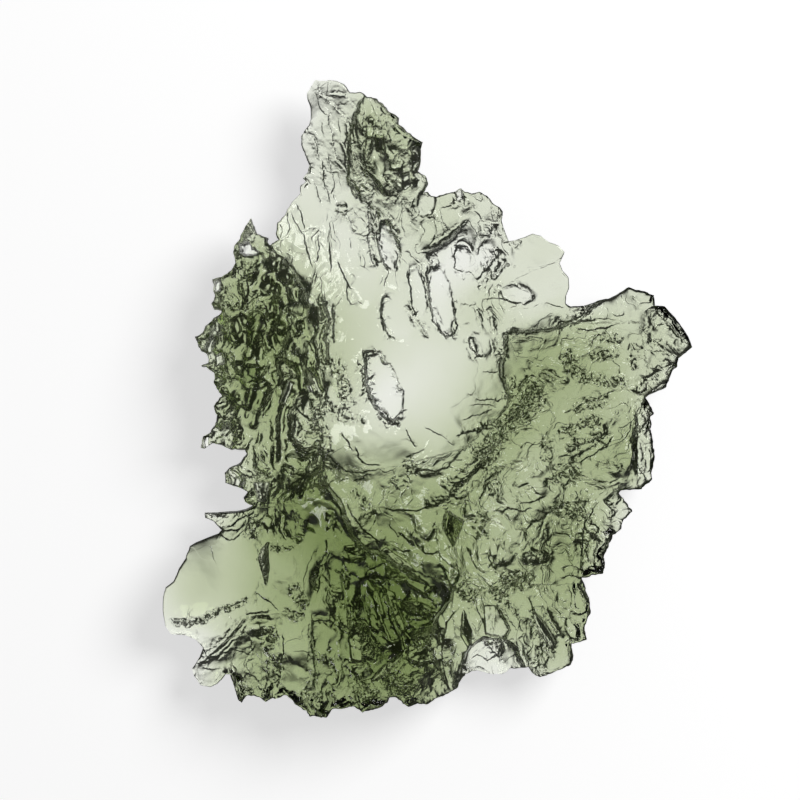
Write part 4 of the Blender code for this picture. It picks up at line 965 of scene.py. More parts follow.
def nearest_on_runs(x: Array, y: Array, starts: Array, ends: Array) -> tuple[Array, Array, Array]:
    """Find the nearest place on a row of straight runs.

    Args:
        x: Places across.
        y: Places down.
        starts: Where each run starts.
        ends: Where each run ends.

    Returns:
        The distance, the side (1 at the walker's right hand, -1 at the left) and the share of
        the whole length that lies behind the nearest place.
    """
    distance = np.full(x.shape, np.inf)
    side = np.zeros(x.shape)
    share = np.zeros(x.shape)
    lengths = np.hypot(*(ends - starts).T)
    whole = lengths.sum()
    behind = 0.0
    for start, end, length in zip(starts, ends, lengths):
        run = end - start
        off_x = x - start[0]
        off_y = y - start[1]
        part = np.clip((off_x * run[0] + off_y * run[1]) / length ** 2, 0, 1)
        gap = np.hypot(off_x - part * run[0], off_y - part * run[1])
        closer = gap < distance
        distance = np.where(closer, gap, distance)
        side = np.where(closer, np.sign(run[0] * off_y - run[1] * off_x), side)
        share = np.where(closer, (behind + part * length) / whole, share)
        behind += length
    return distance, side, share


def inset_share(x: Array, y: Array, corners: Array, border: float) -> Array:
    """Tell how far each place lies inside a closed outline: 0 outside, 1 past the border."""
    ends = np.roll(corners, -1, axis=0)
    within = np.zeros(x.shape, bool)
    for (ax, ay), (bx, by) in zip(corners, ends):
        if ay != by:
            within ^= ((ay > y) != (by > y)) & (x < (bx - ax) * (y - ay) / (by - ay) + ax)
    gap, _, _ = nearest_on_runs(x, y, corners, ends)
    return smooth_step(0.5 + np.where(within, gap, -gap) / (2 * border))


def spread(gap: Array) -> Array:
    """Give the pull of a spot at a distance, which makes the smoothest sheet through all spots."""
    return gap ** 2 * np.log(gap + 1e-9)


@dataclass(frozen=True)
class SpotSheet:
    """A smooth sheet laid through spots."""
    places: Array
    pulls: Array
    lowest: float
    highest: float

    @classmethod
    def through(cls, values: tuple[Spot, ...], give: float = 400.0) -> "SpotSheet":
        """Lay the sheet through the spots, which it may miss a little where they are uneven."""
        places = np.array([(spot.x, spot.y) for spot in values])
        heights = np.array([spot.value for spot in values])
        count = len(places)
        matrix = np.zeros((count + 3, count + 3))
        matrix[:count, :count] = spread(np.hypot(*(places[:, None] - places[None]).T)) + give * np.eye(count)
        matrix[:count, count] = 1
        matrix[:count, count + 1:] = places
        matrix[count:, :count] = matrix[:count, count:].T
        pulls = np.linalg.solve(matrix, np.concatenate((heights, np.zeros(3))))
        return cls(places, pulls, heights.min(), heights.max())

    def at(self, x: Array, y: Array) -> Array:
        """Read the sheet, kept between its lowest and its highest spot."""
        count = len(self.places)
        total = self.pulls[count] + self.pulls[count + 1] * x + self.pulls[count + 2] * y
        for place, pull in zip(self.places, self.pulls):
            total = total + pull * spread(np.hypot(x - place[0], y - place[1]))
        return np.clip(total, self.lowest, self.highest)


def near_box(x: Array, y: Array, points: Array, margin: float) -> Array:
    """Tell which places lie in the box round some points, widened by a margin."""
    low = points.min(axis=0) - margin
    high = points.max(axis=0) + margin
    return (x > low[0]) & (x < high[0]) & (y > low[1]) & (y < high[1])


@dataclass(frozen=True)
class PictureScale:
    """Turns places on the stone into picture units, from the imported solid's own box."""
    unit: float
    left: float
    top: float

    @classmethod
    def from_solid(cls) -> "PictureScale":
        """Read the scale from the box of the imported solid, which the stone fills."""
        low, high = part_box(STONE_NODE)
        unit = (high.y - low.y) / (FOOT_Y - SPIRE_TIP_Y)
        return cls(unit, low.x - LEFT_X * unit, high.y + SPIRE_TIP_Y * unit)

    def picture(self, points: Array) -> tuple[Array, Array]:
        """Give the picture's x and y for points in metres."""
        return (points[:, 0] - self.left) / self.unit, (self.top - points[:, 1]) / self.unit

    def metres(self, x: float, y: float) -> tuple[float, float]:
        """Give the place in metres of a place in the picture."""
        return self.left + x * self.unit, self.top - y * self.unit


def draw_order(creases: tuple[Crease, ...], channels: int) -> list[int]:
    """Share creases out over channels, so that neighbours are drawn in different ones."""
    kept = [np.full((1, 2), -1e6) for _ in range(channels)]
    chosen = []
    for crease in creases:
        points = points_of(crease.route)
        walked = np.concatenate([np.linspace(start, end, 8) for start, end in zip(points[:-1], points[1:])])
        room = [np.hypot(*(walked[:, None] - others[None]).T).min() for others in kept]
        channel = int(np.argmax(room))
        kept[channel] = np.concatenate((kept[channel], walked))
        chosen.append(channel)
    return chosen


NO_LINE = 9.0               # line widths: the gap where no line is near
FAR_OFF = 99.0              # picture units: the distance where no line is near


@dataclass
class Ink:
    """Thin lines for the glass to draw: how far each place is from one, and how deep it cuts.

    Gaps are in line widths, with a sign that tells the sides apart. Each channel holds lines that
    keep clear of each other.
    """
    places: int
    channels: int

    def __post_init__(self) -> None:
        """Start with no lines."""
        self.gap = np.full((self.places, self.channels), NO_LINE)
        self.depth = np.zeros((self.places, self.channels))
        self.nearest = np.full((self.places, self.channels), FAR_OFF)
        self.next = np.full((self.places, self.channels), FAR_OFF)

    def add(self, rows: Array, channel: int, gap: Array, side: Array, width: float, depth: Array) -> None:
        """Add one line, given how far each of some places is from it."""
        nearest = self.nearest[rows, channel]
        closer = gap < nearest
        self.next[rows, channel] = np.where(closer, nearest, np.minimum(self.next[rows, channel], gap))
        self.nearest[rows, channel] = np.where(closer, gap, nearest)
        self.gap[rows, channel] = np.where(closer, gap * side / width, self.gap[rows, channel])
        fade = smooth_step(1.4 - gap / (5 * width + 3))
        self.depth[rows, channel] = np.where(closer, depth * fade, self.depth[rows, channel])

    def finish(self) -> None:
        """Let lines fade out where another one of the same channel is just as near."""
        self.depth *= smooth_step((self.next - self.nearest - 0.5) / 3)


DRAWN_LEVELS = (            # spacing, width of lines, width of folds, strength
    (1.7, 0.75, 2.1, 1.0),
    (1.1, 0.62, 1.7, 0.8),
    (0.7, 0.55, 1.4, 0.6),
)


@dataclass
class EtchedRelief:
    """The shape of the stone's two faces, worked out at any place in the picture."""
    scale: PictureScale
    rim_starts: Array
    rim_ends: Array
    thinnest_rim: float = 0.24
    thinnest_glass: float = 0.32
    resting_radius: float = 4.6
    resting_slope: float = 0.35
    resting_place: tuple[float, float] = (394.97, 466.5)
    folded_share: float = 0.15      # of a wide line's height that the mesh takes
    ridge_share: float = 0.6        # of a wide ridge's height that the mesh takes
    wide_line: float = 2.9
    wide_ridge: float = 4.0
    line_fade: float = 0.15         # the share of a crease's length that each end takes to fade
    step_fade: float = 32.0         # how long the end of a ledge a millimetre high takes to fade
    core_share: float = 0.5
    line_slope: float = 5.5
    line_channels: int = 6
    ridge_channels: int = 3
    broad_bend: tuple[float, float] = (46.0, 2.4)       # the size and the reach of the grain's bends
    small_bend: tuple[float, float] = (15.0, 0.5)
    swell_across: float = 26.0
    swell_along: float = 34.0
    crest_level: float = 0.45
    finest_spacing: float = 6.0
    longest_cell: float = 3.0       # how many times longer than wide the cells of drawn lines get
    pit_reach: float = 1.9
    pit_wobble: float = 0.16
    pit_jitter: float = 0.10
    line_wobble: float = 1.3
    line_jitter: float = 0.7
    step_share: float = 0.6         # half of a ledge's height, with what its soft ends lose
    crinkle_share: float = 0.4
    pit_calm: float = 0.8           # the share of the grain that pits, facets and bold lines take away
    facet_calm: float = 0.85
    line_calm: float = 0.7
    under_height: float = 0.55
    under_grit: float = 0.12
    under_base: float = 0.04
    under_share: float = 0.5        # the share of the grain's strength that shows underneath
    under_rounding: float = 0.35

    def __post_init__(self) -> None:
        """Lay the sheets through the spots and share out the creases."""
        self.thickness = SpotSheet.through(GLASS_THICKNESS)
        self.underside = SpotSheet.through(UNDERSIDE_HEIGHT)
        self.rounding = SpotSheet.through(RIM_ROUNDING)
        self.rim_share = SpotSheet.through(RIM_SHARE)
        self.jags = SpotSheet.through(RIM_JAGS)
        self.lines = tuple(crease for crease in CREASES if crease.form is Form.GROOVE)
        self.ridges = tuple(crease for crease in CREASES if crease.form is Form.RIDGE)
        self.others = tuple(crease for crease in CREASES if crease.form in (Form.STEP, Form.CRUMPLE))

    def grain(self, x: Array, y: Array) -> Etching:
        """Give the relief and the drawn etching of the grain areas."""
        count = len(x)
        height = np.zeros(count)
        coarse = np.zeros(count)
        weights = np.full(count, 1e-6)
        best = np.zeros(count)
        second = np.zeros(count)
        flow = np.zeros((count, 3))
        skin = np.zeros((count, 2))
        line_gap = np.full((count, 3), NO_LINE)
        line_depth = np.zeros((count, 3))
        fold_gap = np.full((count, 3), NO_LINE)
        fold_height = np.zeros((count, 3))
        (broad, broad_reach), (small, small_reach) = self.broad_bend, self.small_bend
        bends = [broad_reach * layered_noise(x / broad, y / broad, seed, 3)
                 + small_reach * layered_noise(x / small, y / small, seed + 10, 2) for seed in (901, 977)]
        for number, grain in enumerate(GRAINS):
            corners = points_of(grain.area)
            near = np.flatnonzero(near_box(x, y, corners, 2 * grain.border))
            share = inset_share(x[near], y[near], corners, grain.border)
            near = near[share > 0]
            share = share[share > 0]
            warped = [at[near] + grain.swirl * bend[near] for at, bend in zip((x, y), bends)]
            across, along = turned(*warped, (PICTURE_MIDDLE, PICTURE_MIDDLE), grain.lean)
            relief = grain.swell * layered_noise(across / self.swell_across, along / self.swell_along,
                                                 5000 + 7 * number, 3)
            if grain.crest:
                wave = crests(across / grain.across, along / grain.along, 100 + 37 * number, 2, 0.3)
                relief += (wave - self.crest_level) * grain.crest
            if grain.step:
                swell = layered_noise(across / grain.across / 2.4, along / grain.along / 1.7,
                                      700 + 11 * number, 2)
                relief += terraces(2.4 * swell * grain.step, 0.8 * grain.step, 0.3)
            if grain.shard:
                relief += grain.shard * chips(across / grain.across, along / grain.along, 300 + 7 * number)
            height[near] += relief * share
            coarse[near] += min(1.0, grain.crest + grain.step + grain.shard) * share
            weights[near] += share
            leads = share > best[near]
            second[near] = np.where(leads, best[near], np.maximum(second[near], share))
            best[near] = np.where(leads, share, best[near])
            led = near[leads]
            flow[led] = np.column_stack((across[leads], along[leads], np.full(len(led), 7.0 * number)))
            skin[led] = (grain.chip, grain.fine)
            for level, (spacing, line_width, fold_width, left) in enumerate(DRAWN_LEVELS):
                size = max(grain.across * spacing, self.finest_spacing)
                length = size * min(grain.along / grain.across, self.longest_cell)
                for kind, strongest, width, gaps, depths in (
                        (0, grain.line, line_width, line_gap, line_depth),
                        (1, grain.fold, fold_width, fold_gap, fold_height)):
                    seed = 2000 + 31 * number + 7 * level + 1000 * kind
                    gap = self.noise_gap(across[leads], along[leads], size, length, seed)
                    width *= grain.bold
                    gaps[led, level] = gap / width
                    patch = layered_noise(across[leads] / size / 1.6, along[leads] / length / 1.6,
                                          seed + 3, 2)
                    strength = smooth_step(0.45 + 1.5 * patch) * strongest * left
                    depths[led, level] = strength * self.line_slope * width * self.scale.unit / MM
        clear = smooth_step((best - second) / 0.25)
        weights = np.maximum(weights, 0.6)
        return Etching(height / weights, coarse / weights, flow, skin * clear[:, None], line_gap,
                       line_depth * clear[:, None], fold_gap, fold_height * clear[:, None])

    @staticmethod
    def noise_gap(across: Array, along: Array, size: float, length: float, seed: int) -> Array:
        """Give the distance to the winding lines where a noise is zero, with a sign."""
        probe = 0.4
        here = gradient_noise(across / size, along / length, seed)
        right = gradient_noise((across + probe) / size, along / length, seed)
        down = gradient_noise(across / size, (along + probe) / length, seed)
        slope = np.hypot(right - here, down - here) / probe
        return np.clip(here / (slope + 0.012), -NO_LINE, NO_LINE)

    def pits(self, x: Array, y: Array) -> tuple[Array, Array]:
        """Give the depth of the pits, and how far each place lies inside one."""
        depth = np.zeros(x.shape)
        inside = np.zeros(x.shape)
        for number, pit in enumerate(PITS):
            across, along = turned(x, y, (pit.x, pit.y), pit.lean)
            radius = np.hypot(across / pit.half_width, along / pit.half_length)
            near = radius < self.pit_reach
            wobble = (1 + self.pit_wobble * gradient_noise(x[near] / 11, y[near] / 11, 40 + number)
                      + self.pit_jitter * gradient_noise(x[near] / 4, y[near] / 6, 80 + number))
            radius = radius[near] * wobble
            share = smooth_step((1 + pit.wall - radius) / (2 * pit.wall))
            hollow = pit.depth * (1 + pit.tilt * across[near] / pit.half_width) * share
            depth[near] = np.maximum(depth[near], hollow)
            inside[near] = np.maximum(inside[near], share)
        return depth, inside

    def creases(self, x: Array, y: Array) -> tuple[Array, Array, Array, Ink, Ink]:
        """Give the creases' height, how crumpled and how near a bold one a place is, and the lines."""
        height = np.zeros(x.shape)
        crumpled = np.zeros(x.shape)
        bold = np.zeros(x.shape)
        ragged_x, ragged_y = [
            at + self.line_wobble * gradient_noise(x / 9, y / 9, seed)
            + self.line_jitter * gradient_noise(x / 4, y / 4, seed + 10) for at, seed in ((x, 7), (y, 8))]
        strength = np.clip(1 + 0.7 * gradient_noise(x / 15, y / 15, 27), 0.25, 2)
        crinkle = 1.4 * (crests(x / 7, y / 7, 61, 2) - 0.6) + 0.8 * chips(x / 6, y / 6, 67)
        inks = []
        for creases, channels in ((self.lines, self.line_channels), (self.ridges, self.ridge_channels)):
            ink = Ink(len(x), channels)
            for crease, channel in zip(creases, draw_order(creases, channels)):
                points = points_of(crease.route)
                broad = crease.form is Form.RIDGE and crease.width > self.wide_ridge
                wide = crease.width > self.wide_line
                core = crease.width * self.core_share
                near = np.flatnonzero(near_box(x, y, points, 5 * core + 9))
                gap, side, share = nearest_on_runs(ragged_x[near], ragged_y[near], points[:-1], points[1:])
                taper = both_ends(share, self.line_fade) * strength[near]
                sign = -1 if crease.form is Form.GROOVE else 1
                hush = smooth_step(1.5 - gap / (1.6 * crease.width + 2)) * min(1.0, 1.4 * crease.height)
                bold[near] = np.maximum(bold[near], hush)
                if broad:
                    height[near] += self.ridge_share * crease.height * taper / (1 + (gap / crease.width) ** 2)
                    continue
                if wide:
                    rise = np.exp(-(gap / crease.width) ** 1.3)
                    height[near] += sign * self.folded_share * crease.height * rise * taper
                slope = self.line_slope * min(crease.height, 1.0) * taper
                ink.add(near, channel, gap, side, core, slope * core * self.scale.unit / MM)
            ink.finish()
            inks.append(ink)
        for crease in self.others:
            points = points_of(crease.route)
            margin = crease.reach if crease.form is Form.STEP else 3 * crease.width
            near = near_box(x, y, points, margin + 3)
            gap, side, share = nearest_on_runs(ragged_x[near], ragged_y[near], points[:-1], points[1:])
            if crease.form is Form.STEP:
                length = np.linalg.norm(np.diff(points, axis=0), axis=1).sum()
                taper = both_ends(share, min(0.5, self.step_fade * crease.height / length))
                rise = side * np.tanh(1.5 * gap / crease.width) * np.clip(1 - gap / crease.reach, 0, 1)
                height[near] += self.step_share * crease.height * rise * taper
            else:
                band = smooth_step(1.5 - gap / crease.width) * both_ends(share, self.line_fade)
                height[near] += self.crinkle_share * crease.height * crinkle[near] * band
                crumpled[near] = np.maximum(crumpled[near], band * min(1.0, 1.6 * crease.height))
        return height, crumpled, bold, inks[0], inks[1]

    def facets(self, x: Array, y: Array) -> tuple[Array, Array]:
        """Give the height of the facets, and how far each place lies on one."""
        height = np.zeros(x.shape)
        on_facet = np.zeros(x.shape)
        for face in FACETS:
            corners = points_of(face.corners)
            near = near_box(x, y, corners, 3)
            share = inset_share(x[near], y[near], corners, 1.0)
            middle = corners.mean(axis=0)
            angle = math.radians(face.towards)
            fall = (x[near] - middle[0]) * math.sin(angle) - (y[near] - middle[1]) * math.cos(angle)
            plane = face.height - math.tan(math.radians(face.tilt)) * fall * self.scale.unit / MM
            height[near] = height[near] * (1 - share) + plane * share
            on_facet[near] = np.maximum(on_facet[near], share)
        return height, on_facet

    def surfaces(self, x: Array, y: Array) -> Surfaces:
        """Give both faces of the stone.

        Args:
            x: Picture places across.
            y: Picture places down.

        Returns:
            The heights of the faces in millimetres, and what the glass draws on the upper one.
        """
        rim_gap, _, _ = nearest_on_runs(x, y, self.rim_starts, self.rim_ends)
        inset = np.clip(rim_gap / self.rounding.at(x, y), 0, 1)
        inset = np.sqrt(1 - (1 - inset) ** 2)
        etching = self.grain(x, y)
        pits, in_pit = self.pits(x, y)
        creases, crumpled, bold, lines, ridges = self.creases(x, y)
        facets, on_facet = self.facets(x, y)
        smooth = np.maximum(self.pit_calm * in_pit, self.facet_calm * on_facet)
        calm = (1 - smooth) * (1 - self.line_calm * bold)
        thickness = self.thickness.at(x, y) + etching.relief * calm + creases - pits + facets
        thickness = np.maximum(thickness, self.thinnest_glass + 0.1 * np.minimum(thickness, 0) + 0.08)
        thickness = np.maximum(thickness, self.thinnest_glass)
        rim = np.maximum(thickness * self.rim_share.at(x, y), self.thinnest_rim)
        lost = (thickness - rim) * (1 - inset)
        thickness = thickness - lost
        shift = 0.4 * layered_noise(x / 42, y / 42, 901, 3)
        under_relief = (self.under_height * crests(x / 48 + shift, y / 48, 300, 3)
                        + self.under_grit * crests(x / 18, y / 26, 301, 3))
        under = (self.underside.at(x, y) + self.under_rounding * lost
                 + under_relief * (self.under_base + self.under_share * etching.coarse)
                 * np.clip(inset + 0.2, 0, 1))
        rest_x, rest_y = self.resting_place
        from_rest = np.hypot(x - rest_x, y - rest_y) * self.scale.unit / MM
        under = np.minimum(under, np.maximum(from_rest - self.resting_radius, 0) * self.resting_slope)
        drawn = {
            "line_gap_a": lines.gap[:, :3], "line_depth_a": lines.depth[:, :3],
            "line_gap_b": lines.gap[:, 3:], "line_depth_b": lines.depth[:, 3:],
            "line_gap_c": etching.line_gap, "line_depth_c": etching.line_depth * calm[:, None],
            "ridge_gap_a": ridges.gap, "ridge_depth_a": ridges.depth,
            "ridge_gap_b": etching.fold_gap, "ridge_depth_b": etching.fold_height * calm[:, None],
            "flow": etching.flow,
            "skin": np.column_stack((etching.skin * calm[:, None], np.maximum(crumpled, 0))),
        }
        return Surfaces(under + thickness, under, drawn)


def set_inputs(tree: bpy.types.NodeTree, node: bpy.types.Node, values: dict[str | int, object]) -> None:
    """Set each named input of a node to a plain value, or link it to another node's output."""
    for name, value in values.items():
        if isinstance(value, bpy.types.NodeSocket):
            tree.links.new(value, node.inputs[name])
        else:
            node.inputs[name].default_value = value


def add_node(tree: bpy.types.NodeTree, kind: str, values: dict[str | int, object] | None = None,
             **choices: object) -> bpy.types.Node:
    """Add a shader node.

    Args:
        tree: The nodes that it joins.
        kind: What node it is, without the words that all their names start with.
        values: The value or the output that goes into each input.
        choices: The node's own settings.

    Returns:
        The node.
    """
    node = tree.nodes.new("ShaderNode" + kind)
    for name, choice in choices.items():
        setattr(node, name, choice)
    set_inputs(tree, node, values or {})
    return node


def vector_sum(tree: bpy.types.NodeTree, operation: str, *values: object) -> bpy.types.NodeSocket:
    """Add a vector calculation and give its output."""
    node = add_node(tree, "VectorMath", dict(enumerate(values)), operation=operation)
    return node.outputs["Value" if operation in ("DOT_PRODUCT", "LENGTH") else "Vector"]


def number_sum(tree: bpy.types.NodeTree, operation: str, *values: object) -> bpy.types.NodeSocket:
    """Add a number calculation and give its output."""
    return add_node(tree, "Math", dict(enumerate(values)), operation=operation).outputs[0]


def ranged(tree: bpy.types.NodeTree, value: bpy.types.NodeSocket, start: float, end: float, first: float,
           last: float, way: str = "SMOOTHSTEP") -> bpy.types.NodeSocket:
    """Change from a first to a last number while a value goes from a start to an end."""
    limits = {"Value": value, "From Min": start, "From Max": end, "To Min": first, "To Max": last}
    return add_node(tree, "MapRange", limits, interpolation_type=way).outputs["Result"]


def new_material(name: str) -> tuple[bpy.types.Material, bpy.types.NodeTree]:
    """Start a material, and give it with its nodes."""
    made = bpy.data.materials.new(name)
    made.use_nodes = True
    return made, made.node_tree


@dataclass(frozen=True)
class GreenGlass:
    """The finish of the stone: clear green glass, its colour taken up in its depth.

    The finest etching is drawn by the glass, from what the mesh keeps at each point.
    """
    refraction: float = 1.49
    roughness: float = 0.0
    absorbed: tuple[float, float, float] = (284.0, 238.0, 412.0)    # of red, green and blue, in a metre
    black: float = 0.999
    ragged_size: float = 0.00016
    ragged_reach: float = 0.9
    break_size: float = 0.00045
    break_start: float = 0.3
    break_end: float = 0.7
    faintest_line: float = 0.5
    boldest_line: float = 1.5
    chip_across: float = 9.0
    chip_along: float = 19.0
    chip_height: float = 0.75
    chip_shake: float = 0.9
    crinkle_across: float = 7.0
    crinkle_along: float = 16.0
    crinkle_height: float = 0.28
    grit_size: float = 0.00024
    grit_height: float = 0.60

    @staticmethod
    def new_group(name: str, **inputs: str) -> tuple[bpy.types.NodeTree, bpy.types.Node, bpy.types.Node]:
        """Start a node group that gives a height.

        Args:
            name: The group's name.
            inputs: The kind of each input, by name.

        Returns:
            The group, its input node and its output node.
        """
        group = bpy.data.node_groups.new(name, "ShaderNodeTree")
        for given, kind in inputs.items():
            group.interface.new_socket(name=given, in_out="INPUT", socket_type="NodeSocket" + kind)
        group.interface.new_socket(name="Height", in_out="OUTPUT", socket_type="NodeSocketFloat")
        return group, group.nodes.new("NodeGroupInput"), group.nodes.new("NodeGroupOutput")

    def drawn_lines(self, ridged: bool) -> bpy.types.NodeTree:
        """Build the group that draws thin folds, or thin ridges with a pale crest."""
        name = "drawn_ridges" if ridged else "drawn_folds"
        group, given, result = self.new_group(name, Gap="Vector", Depth="Vector", Ragged="Vector",
                                              Strength="Float")
        gap = vector_sum(group, "ADD", given.outputs["Gap"], given.outputs["Ragged"])
        square = vector_sum(group, "MULTIPLY", gap, gap)
        spread_out = vector_sum(group, "ADD", square, (1, 1, 1))
        profile = vector_sum(group, "DIVIDE", (1, 1, 1) if ridged else gap, spread_out)
        whole = vector_sum(group, "DOT_PRODUCT", profile, given.outputs["Depth"])
        height = number_sum(group, "MULTIPLY", whole, given.outputs["Strength"])
        set_inputs(group, result, {"Height": height})
        return group

    def small_chips(self) -> bpy.types.NodeTree:
        """Build the group that gives small flat chips, each tilted its own way."""
        group, given, result = self.new_group("small_chips", Vector="Vector")
        noise = add_node(group, "TexNoise", {"Vector": given.outputs["Vector"], "Scale": 0.7, "Detail": 1.0})
        shake = vector_sum(group, "MULTIPLY", noise.outputs["Color"], (self.chip_shake,) * 3)
        place = vector_sum(group, "ADD", given.outputs["Vector"], shake)
        cells = add_node(group, "TexVoronoi", {"Vector": place, "Scale": 1.0})
        off = vector_sum(group, "SUBTRACT", place, cells.outputs["Position"])
        fall = vector_sum(group, "SUBTRACT", cells.outputs["Color"], (0.5, 0.5, 0.5))
        set_inputs(group, result, {"Height": vector_sum(group, "DOT_PRODUCT", off, fall)})
        return group

    def small_crinkles(self) -> bpy.types.NodeTree:
        """Build the group that gives small sharp crinkles."""
        group, given, result = self.new_group("small_crinkles", Vector="Vector")
        noise = add_node(group, "TexNoise", {"Vector": given.outputs["Vector"], "Scale": 1.0, "Detail": 2.0,
                                             "Roughness": 0.6, "Distortion": 0.5})
        level = number_sum(group, "SUBTRACT", noise.outputs["Fac"], 0.5)
        fold = number_sum(group, "ABSOLUTE", level)
        set_inputs(group, result, {"Height": number_sum(group, "MULTIPLY", fold, -2.0)})
        return group

    def material(self) -> bpy.types.Material:
        """Make the glass, with plain transmission, refraction and absorption values."""
        made, tree = new_material("green_glass")
        bump = add_node(tree, "Bump", {"Distance": MM, "Height": self.etched_height(tree)})
        set_inputs(tree, tree.nodes["Principled BSDF"], {
            "Base Color": WHITE, "Transmission Weight": 1.0, "Roughness": self.roughness,
            "IOR": self.refraction, "Normal": bump.outputs["Normal"]})
        density = max(self.absorbed)
        passed = [1 - self.black * share / density for share in self.absorbed]
        volume = add_node(tree, "VolumeAbsorption", {"Color": (*passed, 1), "Density": density})
        set_inputs(tree, tree.nodes["Material Output"], {"Volume": volume.outputs["Volume"]})
        return made

    @staticmethod
    def kept(tree: bpy.types.NodeTree, name: str) -> bpy.types.NodeSocket:
        """Read what the mesh keeps under a name."""
        return add_node(tree, "Attribute", attribute_name=name).outputs["Vector"]

    @staticmethod
    def use(tree: bpy.types.NodeTree, group: bpy.types.NodeTree, **values: object) -> bpy.types.NodeSocket:
        """Place a group with its values and give its height."""
        node = add_node(tree, "Group", node_tree=group)
        set_inputs(tree, node, values)
        return node.outputs["Height"]

    def etched_height(self, tree: bpy.types.NodeTree) -> bpy.types.NodeSocket:
        """Add up all that is drawn on the glass, in millimetres."""
        place = add_node(tree, "TexCoord").outputs["Object"]
        noise = add_node(tree, "TexNoise", {"Vector": place, "Scale": 1 / self.ragged_size, "Detail": 1.0})
        centred = vector_sum(tree, "SUBTRACT", noise.outputs["Color"], (0.5, 0.5, 0.5))
        ragged = vector_sum(tree, "MULTIPLY", centred, (2 * self.ragged_reach,) * 3)
        breaks = add_node(tree, "TexNoise", {"Vector": place, "Scale": 1 / self.break_size, "Detail": 1.0})
        strength = ranged(tree, breaks.outputs["Fac"], self.break_start, self.break_end,
                          self.faintest_line, self.boldest_line, "LINEAR")
        heights = []
        for kind, letters, group in (("line", "abc", self.drawn_lines(False)),
                                     ("ridge", "ab", self.drawn_lines(True))):
            for letter in letters:
                heights.append(self.use(tree, group, Gap=self.kept(tree, f"{kind}_gap_{letter}"),
                                        Depth=self.kept(tree, f"{kind}_depth_{letter}"),
                                        Ragged=ragged, Strength=strength))
        skin = add_node(tree, "SeparateXYZ", {0: self.kept(tree, "skin")})
        flow = self.kept(tree, "flow")
        chip_place = vector_sum(tree, "MULTIPLY", flow, (1 / self.chip_across, 1 / self.chip_along, 1))
        crinkle_place = vector_sum(tree, "MULTIPLY", flow,
                                   (1 / self.crinkle_across, 1 / self.crinkle_along, 1))
        grit_place = vector_sum(tree, "MULTIPLY", place, (1 / self.grit_size,) * 3)
        cells = self.small_chips()
        for share, height, drawn in (
                ("X", self.chip_height, self.use(tree, cells, Vector=chip_place)),
                ("Y", self.crinkle_height, self.use(tree, self.small_crinkles(), Vector=crinkle_place)),
                ("Z", self.grit_height, self.use(tree, cells, Vector=grit_place))):
            scaled = number_sum(tree, "MULTIPLY", drawn, height)
            heights.append(number_sum(tree, "MULTIPLY", scaled, skin.outputs[share]))
        total = heights[0]
        for height in heights[1:]:
            total = number_sum(tree, "ADD", total, height)
        return total


